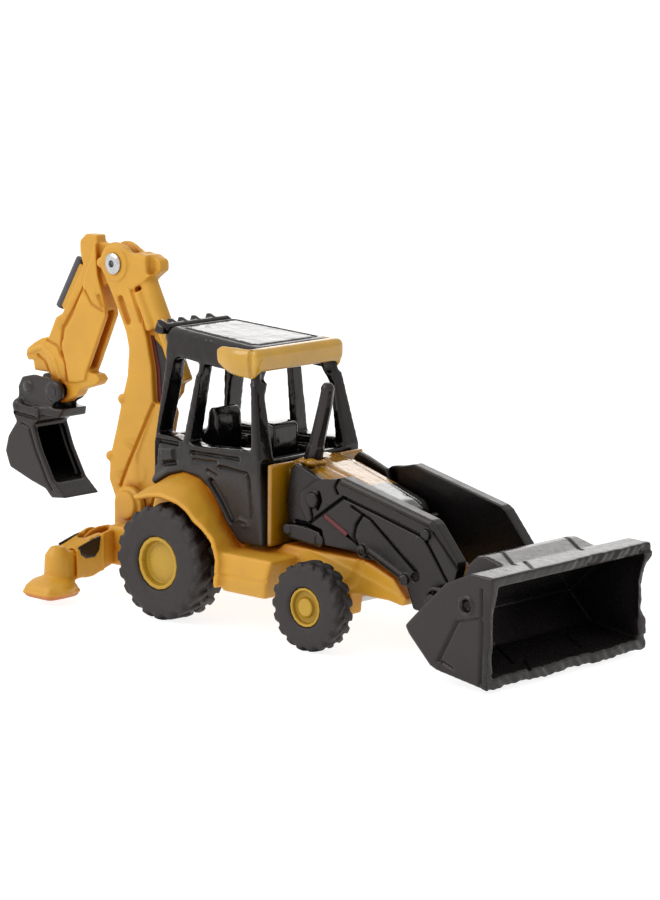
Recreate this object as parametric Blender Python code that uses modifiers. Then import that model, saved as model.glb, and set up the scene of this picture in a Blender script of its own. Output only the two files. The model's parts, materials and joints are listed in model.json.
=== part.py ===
"""Toy backhoe loader, about 98 mm long.

The machine faces +X, its left side is +Y and it stands on z = 0.  Sizes are
written in millimetres and the helpers turn them into metres.  Positions are
measured from the point on the ground below the rear axle; one empty then puts
that point where the middle of the whole toy is at x = 0.
"""

import math

import bmesh
import bpy
from mathutils import Matrix, Vector

# --- driving dimensions, in millimetres ---------------------------------------

MM = 0.001
REAR_AXLE_X = -8.1
GAP = 0.3
SIDES = {"right": -1, "left": 1}

WHEELBASE = 25.8
REAR_TYRE_RADIUS = 7.66
FRONT_TYRE_RADIUS = 5.77
REAR_WHEEL_OUT = 14.7
REAR_WHEEL_WIDTH = 5.6
FRONT_WHEEL_OUT = 14.4
FRONT_WHEEL_WIDTH = 3.8
REAR_RIM_RADIUS = 3.55
FRONT_RIM_RADIUS = 2.55
AXLE_RADIUS = 0.9

SPINE_HALF_WIDTH = 7.3
STEP_OUT = 12.7
FENDER_IN = 7.8
FENDER_OUT = 13.6
FENDER_THICKNESS = 0.75
BASE_SCREW_X = {"rear": -6.0, "front": 18.5}
THROUGH = 12.0

CAB_FLOOR_Z = 19.6
CAB_FLOOR_THICKNESS = 1.0
SEAT_HALF_WIDTH = 2.35
EXHAUST_Y = -3.0

HOOD_HALF_WIDTH = 5.2
FIREWALL_X = (14.15, 14.95)
FIREWALL_HALF_WIDTH = 8.9

TOWER_IN = 5.6
TOWER_OUT = 6.5
ARM_IN = 5.9
ARM_OUT = 7.6
ARM_REAR_IN = 6.8
LOADER_PIVOT = (21.1, 18.0)
BUCKET_PIVOT = (42.4, 8.6)
CROSS_TUBE = (38.3, 7.6)
PIN_RADIUS = 0.7

BUCKET_HALF_WIDTH = 15.55
BUCKET_WALL = 1.15
BUCKET_HUMP_HALF_WIDTH = 9.0

SWING_X = -17.3
BOOM_PIVOT = (-17.4, 11.4)
BOOM_HALF_WIDTH = 1.5
BOOM_SLOT_HALF_WIDTH = 0.7
STICK_PIVOT = (-21.1, 43.85)
STICK_HALF_WIDTH = 1.35
STICK_RIM_HALF_WIDTH = 0.95
STICK_CHANNEL_HALF_WIDTH = 0.6
STICK_TONGUE_HALF_WIDTH = 0.42
HOE_PIVOT = (-32.2, 25.2)
HOE_HALF_WIDTH = 3.3
HOE_LUG_IN = 1.65
HOE_LUG_OUT = 2.4
HOE_WALL = 0.7

STABILISER_X = -17.9
STABILISER_PIVOT_Y = 7.6
STABILISER_PIVOT_Z = 6.4
STABILISER_FOOT_Y = 16.4

ROUND_STEPS = 16
TYRE_STEPS = 32

# --- scene, collections and materials -----------------------------------------


def clear_scene():
    """Remove every object, so the file can be run again in an open scene."""
    for obj in list(bpy.data.objects):
        bpy.data.objects.remove(obj, do_unlink=True)


def new_collection(name):
    """Add a collection under the scene's own one."""
    collection = bpy.data.collections.new(name)
    bpy.context.scene.collection.children.link(collection)
    return collection


clear_scene()
PARTS = new_collection("toy_backhoe_loader")
CUTTERS = new_collection("cutters")


def material(name, colour, roughness, metallic=0.0):
    """A plain Principled material."""
    mat = bpy.data.materials.new(name)
    mat.use_nodes = True
    shader = mat.node_tree.nodes["Principled BSDF"]
    shader.inputs["Base Color"].default_value = (*colour, 1.0)
    shader.inputs["Roughness"].default_value = roughness
    shader.inputs["Metallic"].default_value = metallic
    mat.diffuse_color = (*colour, 1.0)
    return mat


YELLOW_PLASTIC = material("yellow_plastic", (0.78, 0.42, 0.08), 0.45)
YELLOW_PAINT = material("yellow_paint", (0.60, 0.33, 0.04), 0.2)
BLACK_PAINT = material("black_paint", (0.02, 0.02, 0.022), 0.15)
BLACK_PLASTIC = material("black_plastic", (0.035, 0.033, 0.034), 0.45)
TYRE_PLASTIC = material("tyre_plastic", (0.055, 0.05, 0.052), 0.6)
GOLD_PAINT = material("gold_paint", (0.62, 0.38, 0.05), 0.35, 0.3)
BRIGHT_STEEL = material("bright_steel", (0.7, 0.7, 0.7), 0.25, 1.0)

# --- placing ------------------------------------------------------------------


def empty(name, position, parent=None):
    """An empty at a place in the machine's frame; children turn about it."""
    obj = bpy.data.objects.new(name, None)
    obj.empty_display_size = 2 * MM
    PARTS.objects.link(obj)
    obj["machine_place"] = position
    base = Vector(parent["machine_place"]) if parent else Vector((0, 0, 0))
    obj.location = (Vector(position) - base) * MM
    obj.parent = parent
    return obj


def make_root():
    """The empty below the rear axle that carries the whole machine."""
    root = empty("chassis", (0, 0, 0))
    root.location = (REAR_AXLE_X * MM, 0, 0)
    return root


def place(obj, body, collection=PARTS):
    """Link a piece whose mesh is in the machine's frame and hang it on its body."""
    collection.objects.link(obj)
    obj.parent = body
    obj.location = -Vector(body["machine_place"]) * MM
    return obj


def finish_mesh(bm, name, mat):
    """Turn a bmesh in millimetres into an object in metres, shaded smooth."""
    bmesh.ops.scale(bm, vec=(MM, MM, MM), verts=bm.verts)
    mesh = bpy.data.meshes.new(name)
    bm.to_mesh(mesh)
    bm.free()
    mesh.shade_smooth()
    mesh.set_sharp_from_angle(angle=math.radians(35))
    if mat:
        mesh.materials.append(mat)
    return bpy.data.objects.new(name, mesh)


# --- solids -------------------------------------------------------------------


def arc(centre, radius, start, end, steps):
    """Points along an arc, angles in degrees, in the x-z plane."""
    points = []
    for i in range(steps + 1):
        angle = math.radians(start + (end - start) * i / steps)
        points.append((centre[0] + radius * math.cos(angle), centre[1] + radius * math.sin(angle)))
    return points


def plate(name, outline, y_low, y_high, mat=None):
    """A flat piece: an outline in the x-z plane, thick from y_low to y_high."""
    curve = bpy.data.curves.new(name, "CURVE")
    curve.dimensions = "2D"
    curve.fill_mode = "BOTH"
    curve.extrude = (y_high - y_low) / 2
    spline = curve.splines.new("POLY")
    spline.points.add(len(outline) - 1)
    for point, (x, z) in zip(spline.points, outline):
        point.co = (x, z, 0, 1)
    spline.use_cyclic_u = True
    flat = bpy.data.objects.new(name, curve)
    PARTS.objects.link(flat)
    graph = bpy.context.evaluated_depsgraph_get()
    mesh = bpy.data.meshes.new_from_object(flat.evaluated_get(graph))
    bm = bmesh.new()
    bm.from_mesh(mesh)
    bpy.data.objects.remove(flat)
    bpy.data.meshes.remove(mesh)
    bmesh.ops.remove_doubles(bm, verts=bm.verts, dist=0.0001)
    bmesh.ops.rotate(bm, verts=bm.verts, cent=(0, 0, 0), matrix=Matrix.Rotation(math.pi / 2, 3, "X"))
    bmesh.ops.translate(bm, verts=bm.verts, vec=(0, (y_low + y_high) / 2, 0))
    bmesh.ops.recalc_face_normals(bm, faces=bm.faces)
    return finish_mesh(bm, name, mat)


def side_plate(name, outline, inner, outer, side, mat=None):
    """A plate on one side of the machine, between two distances from its middle."""
    low, high = sorted((side * inner, side * outer))
    return plate(name, outline, low, high, mat)


def box(name, low, high, mat=None):
    """A rectangular block between two corners."""
    bm = bmesh.new()
    bmesh.ops.create_cube(bm, size=1)
    size = [b - a for a, b in zip(low, high)]
    bmesh.ops.scale(bm, vec=size, verts=bm.verts)
    middle = [(a + b) / 2 for a, b in zip(low, high)]
    bmesh.ops.translate(bm, verts=bm.verts, vec=middle)
    return finish_mesh(bm, name, mat)


def rod(name, start, end, radius, mat=None, end_radius=None, segments=ROUND_STEPS):
    """A round bar or cone between two points."""
    start = Vector(start)
    end = Vector(end)
    bm = bmesh.new()
    bmesh.ops.create_cone(
        bm,
        cap_ends=True,
        segments=segments,
        radius1=radius,
        radius2=radius if end_radius is None else end_radius,
        depth=(end - start).length,
    )
    turn = (end - start).to_track_quat("Z", "Y").to_matrix()
    bmesh.ops.rotate(bm, verts=bm.verts, cent=(0, 0, 0), matrix=turn)
    bmesh.ops.translate(bm, verts=bm.verts, vec=(start + end) / 2)
    return finish_mesh(bm, name, mat)


def cross_rod(name, centre, radius, y_low, y_high, mat=None, segments=ROUND_STEPS):
    """A round bar along Y through a point of the x-z plane."""
    x, z = centre
    return rod(name, (x, y_low, z), (x, y_high, z), radius, mat, segments=segments)


def hull(name, points, mat=None):
    """The convex solid around a set of corner points."""
    bm = bmesh.new()
    verts = [bm.verts.new(p) for p in points]
    result = bmesh.ops.convex_hull(bm, input=verts)
    spare = result["geom_interior"] + result["geom_unused"]
    loose = [g for g in spare if isinstance(g, bmesh.types.BMVert)]
    bmesh.ops.delete(bm, geom=list(set(loose)), context="VERTS")
    flat = math.radians(0.5)
    bmesh.ops.dissolve_limit(bm, angle_limit=flat, verts=bm.verts, edges=bm.edges)
    bmesh.ops.recalc_face_normals(bm, faces=bm.faces)
    return finish_mesh(bm, name, mat)


def level_loft(name, levels, mat=None):
    """Sections stacked up Z: each level is (z, rear x, front x, rear half width, front half width)."""
    bm = bmesh.new()
    rings = []
    for z, rear, front, rear_half, front_half in levels:
        right = [(rear, -rear_half, z), (front, -front_half, z)]
        left = [(front, front_half, z), (rear, rear_half, z)]
        rings.append([bm.verts.new(c) for c in right + left])
    for low, high in zip(rings, rings[1:]):
        for i in range(4):
            j = (i + 1) % 4
            bm.faces.new((low[i], low[j], high[j], high[i]))
    bm.faces.new(rings[0])
    bm.faces.new(rings[-1])
    bmesh.ops.recalc_face_normals(bm, faces=bm.faces)
    return finish_mesh(bm, name, mat)


def turned(name, profile, y_sign, centre, mat=None, steps=ROUND_STEPS):
    """A turned piece about a Y axis: the profile is (radius, distance from the middle)."""
    mesh = bpy.data.meshes.new(name)
    points = [(r * MM, 0, d * MM) for r, d in profile]
    edges = [(i, (i + 1) % len(points)) for i in range(len(points))]
    mesh.from_pydata(points, edges, [])
    mesh.materials.append(mat)
    obj = bpy.data.objects.new(name, mesh)
    screw = obj.modifiers.new("turn", "SCREW")
    screw.axis = "Z"
    screw.steps = steps
    screw.render_steps = steps
    screw.use_merge_vertices = True
    screw.merge_threshold = 0.00001
    screw.use_smooth_shade = True
    obj.rotation_euler = (-y_sign * math.pi / 2, 0, 0)
    obj["centre"] = centre
    return obj


def place_turned(obj, body):
    """Hang a turned piece on its body with its own axis through its centre."""
    PARTS.objects.link(obj)
    obj.parent = body
    offset = Vector(obj["centre"]) - Vector(body["machine_place"])
    obj.location = offset * MM
    del obj["centre"]
    return obj


def boolean(target, tool, body, operation):
    """Cut a solid away or join one on, and keep the tool out of sight."""
    place(tool, body, CUTTERS)
    tool.hide_render = True
    tool.display_type = "WIRE"
    step = target.modifiers.new(tool.name, "BOOLEAN")
    step.operation = operation
    step.solver = "EXACT"
    step.object = tool


def cut(target, body, *tools):
    """Remove each tool from the target."""
    for tool in tools:
        boolean(target, tool, body, "DIFFERENCE")


def fuse(target, body, *tools):
    """Add each tool to the target, as one moulding."""
    for tool in tools:
        boolean(target, tool, body, "UNION")


# --- chassis moulding ---------------------------------------------------------

# The spine's side view: tail, belly, nose and top.
SPINE_OUTLINE = [
    (-13.0, 4.2), (-3.4, 4.2), (17.5, 4.8), (19.6, 6.6), (33.6, 6.7), (36.0, 6.3), (36.5, 7.4),
    (34.4, 9.7), (30.0, 11.3), (15.6, 11.5), (14.6, 10.6), (-13.0, 10.6),
]
FRONT_LEG_OUTLINE = [(23.6, 7.2), (24.2, 3.8), (27.0, 3.8), (27.4, 7.2)]
FRONT_LEG_IN = 4.6

# The fender's upper edge against the cab and its outer lip, front to rear.
FENDER_TOP = [
    (9.9, 5.7), (9.7, 9.3), (8.3, 10.9), (6.5, 12.8), (5.1, 15.0), (3.5, 16.8), (1.5, 18.2),
    (-1.2, 18.75), (-3.8, 18.0), (-7.2, 16.1),
]
FENDER_LIP = [
    (9.7, 5.5), (10.1, 9.4), (9.3, 12.0), (7.7, 13.2), (5.9, 14.1), (4.6, 15.2), (2.6, 16.1),
    (-0.6, 16.6), (-3.0, 16.3), (-5.6, 15.7),
]


def fender(name, side):
    """A curved band over the rear tyre, from the cab's edge out to the lip."""
    bm = bmesh.new()
    rows = []
    middle_y = (FENDER_IN + FENDER_OUT) / 2
    for (tx, tz), (lx, lz) in zip(FENDER_TOP, FENDER_LIP):
        crown = ((tx + lx) / 2, (tz + lz) / 2 + 0.25)
        places = [(tx, side * FENDER_IN, tz), (crown[0], side * middle_y, crown[1]),
                  (lx, side * FENDER_OUT, lz)]
        rows.append([bm.verts.new(p) for p in places])
    for row, after in zip(rows, rows[1:]):
        for i in range(2):
            quad = (row[i], row[i + 1], after[i + 1], after[i])
            bm.faces.new(quad if side > 0 else quad[::-1])
    obj = finish_mesh(bm, name, YELLOW_PLASTIC)
    shell = obj.modifiers.new("thickness", "SOLIDIFY")
    shell.thickness = FENDER_THICKNESS * MM
    shell.offset = -1
    return obj


def step_box(name, side):
    """The box with a foot step between the wheels, its lower half drawn in."""
    levels = [(5.0, 9.3, 16.9, 12.0), (7.4, 9.3, 17.7, STEP_OUT), (10.3, 9.6, 18.6, STEP_OUT)]
    points = []
    for z, rear, front, out in levels:
        for x in (rear, front):
            points.append((x, side * 6.5, z))
            points.append((x, side * out, z))
    return hull(name, points)


def well_wall(name, side):
    """The upright wall inside the wheel arch, which carries the fender."""
    outline = [(-9.0, 8.7), (9.1, 8.7), (9.1, 9.6), (7.6, 10.9), (6.0, 12.6), (4.5, 14.8),
               (3.0, 16.4), (1.2, 17.7), (-1.2, 18.3), (-3.6, 17.6), (-6.8, 15.9)]
    return side_plate(name, outline, 6.4, FENDER_IN + 0.13, side)


def tail_parts(side):
    """The rails and the fork that hold one stabiliser, beside the swing bracket."""
    rail_outline = [(-17.6, 3.9), (-7.7, 3.9), (-7.7, 9.35), (-17.6, 9.35)]
    rail = side_plate("tail_rail", rail_outline, 4.3, 6.75, side)
    wing_outline = [(4.4, 3.95), (STABILISER_PIVOT_Y, 4.2)]
    wing_outline += arc((STABILISER_PIVOT_Y, STABILISER_PIVOT_Z), 2.2, -90, 80, 6)
    wing_outline += [(6.4, 8.9), (4.4, 8.9)]
    points = []
    for y, z in wing_outline:
        points.append((STABILISER_X - 1.5, side * y, z))
        points.append((STABILISER_X + 1.5, side * y, z))
    return [rail, hull("tail_wing", points)]


def build_chassis(root):
    """The yellow plastic moulding that everything is fastened to."""
    name = "chassis_base"
    chassis = plate(name, SPINE_OUTLINE, -SPINE_HALF_WIDTH, SPINE_HALF_WIDTH, YELLOW_PLASTIC)
    place(chassis, root)
    tail = box("tail_plate", (-20.4, -5.0, 3.6), (-12.0, 5.0, 5.1))
    fuse(chassis, root, tail)
    for side in SIDES.values():
        fuse(chassis, root, *tail_parts(side))
    for label, side in SIDES.items():
        leg = side_plate("front_leg_" + label, FRONT_LEG_OUTLINE, FRONT_LEG_IN, 7.1, side)
        fuse(chassis, root, leg, step_box("step_" + label, side))
        fuse(chassis, root, well_wall("well_wall_" + label, side))
        fuse(chassis, root, fender("fender_" + label, side))
    slot_in = STABILISER_PIVOT_Y - 2.6
    for side in SIDES.values():
        low, high = sorted((side * slot_in, side * THROUGH))
        slot = box("fork_slot", (STABILISER_X - 0.95, low, 3.0), (STABILISER_X + 0.95, high, 12.0))
        cut(chassis, root, slot, hinge_rod("stabiliser_bore", side, 3, PIN_RADIUS + GAP))
    bore = AXLE_RADIUS + GAP
    rear_bore = cross_rod("rear_axle_bore", (0, REAR_TYRE_RADIUS), bore, -THROUGH, THROUGH)
    front_bore = cross_rod("front_axle_bore", (WHEELBASE, FRONT_TYRE_RADIUS), bore, -THROUGH, THROUGH)
    swing_bore = rod("swing_bore", (SWING_X, 0, 2), (SWING_X, 0, 7), bore)
    swing_room = box("swing_room", (-21, -4.2, 5.1), (-13.5, 4.2, 12))
    cut(chassis, root, rear_bore, front_bore, swing_bore, swing_room)
    for x in BASE_SCREW_X.values():
        cut(chassis, root, rod("screw_well", (x, 0, 3), (x, 0, 6.0), 1.9))


def build_base_screws(root):
    """The two screws that hold the cab casting from below."""
    for label, x in BASE_SCREW_X.items():
        screw = rod("base_screw_" + label, (x, 0, 4.9), (x, 0, 5.7), 1.5, BRIGHT_STEEL, 1.3)
        place(screw, root)


# --- wheels -------------------------------------------------------------------


def tyre_profile(radius, rim, inner, outer):
    """The section of a tyre, from its outer shoulder round to the bead."""
    shoulder = 0.13 * radius
    bead = rim + 0.25
    return [
        (bead, outer - 0.35), (bead + 0.5, outer), (radius - shoulder, outer - 0.1),
        (radius, outer - shoulder), (radius, inner + shoulder), (radius - shoulder, inner + 0.1),
        (bead + 0.5, inner), (bead, inner + 0.35),
    ]


def rear_hub_profile(outer):
    """A deep flat-bottomed dish, closed by a web and open for the axle behind."""
    rim = REAR_RIM_RADIUS
    hole = AXLE_RADIUS + GAP
    return [
        (0, outer - 1.2), (rim - 0.75, outer - 1.2), (rim - 0.55, outer - 0.3), (rim, outer - 0.3),
        (rim, outer - 4.6), (rim - 0.8, outer - 4.6), (rim - 0.8, outer - 2.6), (hole, outer - 2.6),
        (hole, outer - 2.0), (0, outer - 2.0),
    ]


def front_hub_profile(outer):
    """A shallow dish with a raised round boss in its middle."""
    rim = FRONT_RIM_RADIUS
    hole = AXLE_RADIUS + GAP
    return [
        (0, outer - 0.2), (1.15, outer - 0.2), (1.35, outer - 0.7), (rim - 0.55, outer - 0.8),
        (rim - 0.35, outer - 0.2), (rim, outer - 0.2), (rim, outer - 3.2), (rim - 0.6, outer - 3.2),
        (rim - 0.6, outer - 2.2), (hole, outer - 2.2), (hole, outer - 1.5), (0, outer - 1.5),
    ]


def open_profile_turned(name, profile, side, centre, mat):
    """A turned piece whose profile starts and ends on the axis."""
    obj = turned(name, profile, side, centre, mat)
    mesh = obj.data
    points = [v.co.copy() for v in mesh.vertices]
    mesh.clear_geometry()
    mesh.from_pydata(points, [(i, i + 1) for i in range(len(points) - 1)], [])
    return obj


def build_wheels(rear_axle, front_axle):
    """Two axles, each turning in the chassis with its two hubs and tyres."""
    axles = (
        ("rear", rear_axle, (0, REAR_TYRE_RADIUS), REAR_TYRE_RADIUS, REAR_RIM_RADIUS,
         REAR_WHEEL_OUT, REAR_WHEEL_WIDTH, rear_hub_profile, 2.3),
        ("front", front_axle, (WHEELBASE, FRONT_TYRE_RADIUS), FRONT_TYRE_RADIUS, FRONT_RIM_RADIUS,
         FRONT_WHEEL_OUT, FRONT_WHEEL_WIDTH, front_hub_profile, 1.8),
    )
    for end, body, (x, z), radius, rim, outer, width, hub_profile, inset in axles:
        reach = outer - inset
        place(cross_rod(end + "_axle", (x, z), AXLE_RADIUS, -reach, reach, BRIGHT_STEEL), body)
        for label, side in SIDES.items():
            centre = (x, 0, z)
            profile = tyre_profile(radius, rim, outer - width, outer)
            tyre = turned(f"{end}_tyre_{label}", profile, side, centre, TYRE_PLASTIC, TYRE_STEPS)
            place_turned(tyre, body)
            hub = open_profile_turned(f"{end}_hub_{label}", hub_profile(outer), side, centre, GOLD_PAINT)
            place_turned(hub, body)


# --- cab and hood -------------------------------------------------------------

# Levels of the cab: height, rear x, front x, rear and front half widths.
CAB_LEVELS = [
    (11.0, -7.2, 13.8, 8.0, 9.3), (22.2, -7.1, 13.5, 8.0, 9.7), (31.8, -6.2, 11.5, 7.0, 8.4),
    (31.9, -6.2, 10.7, 7.0, 7.45), (35.4, -6.3, 10.7, 6.6, 7.4),
]
CAB_INSIDE_LEVELS = [
    (9.0, -6.1, 12.7, 6.9, 8.2), (18.9, -6.0, 12.4, 6.9, 8.4), (19.3, -5.9, 12.3, 5.8, 7.4),
    (33.0, -4.9, 10.2, 4.7, 5.9), (34.6, -4.4, 9.4, 4.2, 5.2),
]
ROOF_CORNERS = [
    (-6.2, 6.45, 33.5), (10.6, 7.3, 33.5), (-6.2, 6.4, 36.7), (10.6, 7.3, 35.8), (-5.8, 5.9, 37.3),
    (10.2, 6.8, 36.3),
]
CAB_ARCH = [
    (-8.6, 9.0), (-8.6, 16.0), (-6.8, 16.8), (-3.9, 18.4), (-1.2, 19.2), (1.6, 18.7), (3.9, 17.4),
    (5.6, 15.3), (7.1, 13.2), (9.2, 11.1), (9.7, 9.0),
]
WINDOWS = {
    "right": [
        [(-6.4, 23.2), (-3.6, 23.2), (-1.5, 22.8), (0.2, 33.2), (-3.9, 33.5), (-4.6, 33.0)],
        [(-0.1, 22.8), (2.1, 22.6), (9.9, 23.2), (11.7, 23.3), (10.6, 31.2), (10.0, 32.3), (5.1, 32.8),
         (1.1, 33.1)],
    ],
    "left": [
        [(-6.4, 23.2), (3.9, 23.0), (3.9, 32.9), (-4.3, 33.2)],
        [(5.1, 23.0), (11.7, 23.1), (10.6, 31.2), (10.0, 32.3), (4.8, 32.8)],
    ],
}
WINDSCREEN = [(22.1, 6.7), (29.9, 6.7), (33.2, 5.0)]
REAR_WINDOW = [(22.9, 5.0), (33.0, 4.1)]
VISOR_POD = [(5.6, 33.9), (6.4, 32.8), (7.6, 32.4), (10.9, 32.2), (11.5, 32.9), (11.5, 33.9)]


def end_window(name, x_low, x_high, rows):
    """A cutter along X: each row of its opening is (z, half width)."""
    points = []
    for z, half in rows:
        for x in (x_low, x_high):
            points.append((x, -half, z))
            points.append((x, half, z))
    return hull(name, points)


def build_cab(root):
    """The black casting: lower doors, thick pillars and roof around an open inside."""
    cab = level_loft("cab_shell", CAB_LEVELS, BLACK_PAINT)
    place(cab, root)
    fuse(cab, root, hull("roof", [(x, side * y, z) for x, y, z in ROOF_CORNERS for side in (-1, 1)]))
    cut(cab, root, level_loft("cab_inside", CAB_INSIDE_LEVELS))
    cut(cab, root, plate("cab_arch", CAB_ARCH, -THROUGH, THROUGH))
    for label, side in SIDES.items():
        for i, outline in enumerate(WINDOWS[label]):
            cut(cab, root, side_plate(f"side_window_{label}_{i}", outline, 0.5, THROUGH, side))
    cut(cab, root, end_window("windscreen", 8.5, 17, WINDSCREEN))
    cut(cab, root, end_window("rear_window", -8, -3.7, REAR_WINDOW))


def build_visor(root):
    """The yellow sun visor that wraps the front of the roof, deeper at its sides."""
    levels = [(33.1, 6.6, 11.4, 8.1, 8.1), (33.8, 4.6, 11.8, 8.4, 8.4), (35.6, 4.4, 11.8, 8.4, 8.4),
              (36.2, 5.2, 11.3, 8.1, 8.1)]
    visor = level_loft("cab_visor", levels, YELLOW_PAINT)
    place(visor, root)
    for label, side in SIDES.items():
        fuse(visor, root, side_plate("visor_pod_" + label, VISOR_POD, 7.5, 8.3, side))
    inside = [(32, -6, 11.0, 7.75, 7.75), (36.2, -6, 11.0, 7.7, 7.7), (38, -6, 10.0, 7.0, 7.0)]
    cut(visor, root, level_loft("visor_inside", inside))


def build_cab_inside(root):
    """The floor, the seat and the steering console."""
    floor_top = CAB_FLOOR_Z + CAB_FLOOR_THICKNESS
    levels = [(z, -5.4, 11.8, 5.3, 6.9) for z in (CAB_FLOOR_Z, floor_top)]
    floor = level_loft("cab_floor", levels, BLACK_PLASTIC)
    place(floor, root)
    base = floor_top + GAP
    half = SEAT_HALF_WIDTH
    seat_outline = [(-4.3, base), (-0.7, base), (-0.9, 25.5), (-1.4, 26.4), (-2.2, 26.6), (-2.7, 25.9),
                    (-2.9, 24.0), (-4.2, 21.9)]
    place(plate("seat", seat_outline, -half, half, BLACK_PLASTIC), root)
    console_outline = [(6.4, base), (9.3, base), (9.3, 25.2), (8.9, 25.6), (7.0, 25.7), (6.6, 25.2)]
    place(plate("steering_console", console_outline, -half, half, BLACK_PLASTIC), root)


def build_hood(root):
    """The glossy hood with its rounded nose, and the firewall behind it."""
    rear, front = FIREWALL_X
    widest = HOOD_HALF_WIDTH
    stations = [(rear + 0.4, widest, 22.3), (18.5, widest, 21.6), (27.0, widest, 19.0), (30.3, 4.4, 18.2),
                (32.2, 2.6, 17.3)]
    points = []
    for x, half, top in stations:
        for y_share, drop in ((1.0, 1.5), (0.78, 0.45), (0.3, 0.0)):
            points.append((x, y_share * half, top - drop))
            points.append((x, -y_share * half, top - drop))
        points.append((x, half, 12.0))
        points.append((x, -half, 12.0))
    hood = hull("hood", points, YELLOW_PAINT)
    place(hood, root)
    half = FIREWALL_HALF_WIDTH
    fuse(hood, root, box("firewall", (rear, -half, 11.1), (front, half, 21.8)))


def build_grille(root):
    """The black grille in front of the hood's nose."""
    place(box("front_grille", (32.6, -2.6, 12.4), (33.4, 2.6, 16.6), BLACK_PLASTIC), root)


def build_exhaust(root):
    """The bent exhaust stack beside the windscreen, with a rounded top."""
    curve = bpy.data.curves.new("exhaust_stack", "CURVE")
    curve.dimensions = "3D"
    curve.bevel_depth = 0.85 * MM
    curve.bevel_resolution = 2
    curve.use_fill_caps = True
    route = [(16.9, 22.4, 1.25), (17.9, 26.0, 1.2), (18.8, 29.3, 1.15), (19.2, 31.3, 1.05),
             (19.2, 32.3, 0.65)]
    spline = curve.splines.new("POLY")
    spline.points.add(len(route) - 1)
    for point, (x, z, size) in zip(spline.points, route):
        point.co = (x * MM, EXHAUST_Y * MM, z * MM, 1)
        point.radius = size
    curve.materials.append(BLACK_PLASTIC)
    place(bpy.data.objects.new("exhaust_stack", curve), root)


def build_rear_lights(root):
    """The row of small work lights along the roof's rear edge."""
    bar = box("rear_light_bar", (-7.9, -6.9, 36.2), (-6.6, 6.4, 37.3), BLACK_PAINT)
    place(bar, root)
    for i, y in enumerate((-6.2, -4.3, -2.3, 0.1, 3.0)):
        rear_face = [(-8.1, y - 1, 36.5), (-8.1, y + 1, 36.5), (-7.8, y - 0.6, 38.1), (-7.8, y + 0.6, 38.1)]
        front_face = [(-6.55, y - 0.7, 36.5), (-6.55, y + 0.7, 36.5), (-6.9, y, 37.9)]
        fuse(bar, root, hull(f"lamp_{i}", rear_face + front_face))


# --- front loader -------------------------------------------------------------

LIFT_CYLINDER = [
    (15.9, 14.3), (15.9, 13.0), (16.6, 12.5), (22.2, 11.9), (22.5, 12.2), (22.2, 13.9), (19.6, 14.3),
]
ARM_OUTLINE = [
    (18.6, 18.6), (18.6, 16.9), (19.9, 14.9), (22.5, 14.3), (23.0, 12.4), (28.4, 12.3), (29.0, 11.6),
    (30.2, 11.6), (31.6, 11.7), (36.2, 9.6), (37.0, 8.9), (38.0, 6.4), (39.4, 6.3), (41.3, 7.2),
    *arc(BUCKET_PIVOT, 1.7, -110, 10, 6),
    (45.2, 12.6), (45.2, 13.4), (41.6, 17.6), (40.8, 18.1), (26.2, 21.5), (24.6, 21.1), (21.6, 20.6),
]
TOWER_OUTLINE = [
    (16.0, 12.6), (22.3, 12.2), (22.6, 18.6), (21.6, 20.3), (18.2, 21.6), (16.9, 22.0), (16.1, 21.3),
    (15.4, 17.3),
]


def build_loader_frame(root):
    """The two towers beside the hood and the lift cylinders moulded on them."""
    for label, side in SIDES.items():
        tower = side_plate("loader_tower_" + label, TOWER_OUTLINE, TOWER_IN, TOWER_OUT, side, BLACK_PAINT)
        place(tower, root)
        low, high = sorted((side * 5, side * 9))
        cut(tower, root, cross_rod("tower_bore", LOADER_PIVOT, PIN_RADIUS + GAP, low, high))
        name = "lift_cylinder_" + label
        place(side_plate(name, LIFT_CYLINDER, ARM_REAR_IN, ARM_OUT, side, BLACK_PAINT), root)


def build_loader_arms(loader):
    """Two cranked arms, the tube that ties them and the pins at both ends."""
    for label, side in SIDES.items():
        arm = side_plate("loader_arm_" + label, ARM_OUTLINE, ARM_IN, ARM_OUT, side, BLACK_PAINT)
        place(arm, loader)
        low, high = sorted((side * 5, side * ARM_REAR_IN))
        relief = box("tower_room", (16, low, 10), (23.4, high, 24))
        low, high = sorted((side * 5, side * 9))
        pivot_bore = cross_rod("arm_bore", LOADER_PIVOT, PIN_RADIUS + GAP, low, high)
        bucket_bore = cross_rod("tip_bore", BUCKET_PIVOT, PIN_RADIUS + GAP, low, high)
        cut(arm, loader, relief, pivot_bore, bucket_bore)
        low, high = sorted((side * 5.3, side * 8.0))
        pin = cross_rod("loader_pivot_pin_" + label, LOADER_PIVOT, PIN_RADIUS, low, high, BLACK_PLASTIC)
        place(pin, loader)
    reach = ARM_IN - GAP
    place(cross_rod("arm_cross_tube", CROSS_TUBE, 1.2, -reach, reach, BLACK_PLASTIC), loader)
    place(cross_rod("bucket_pin", BUCKET_PIVOT, PIN_RADIUS, -9.4, 9.4, BLACK_PLASTIC), loader)


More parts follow.
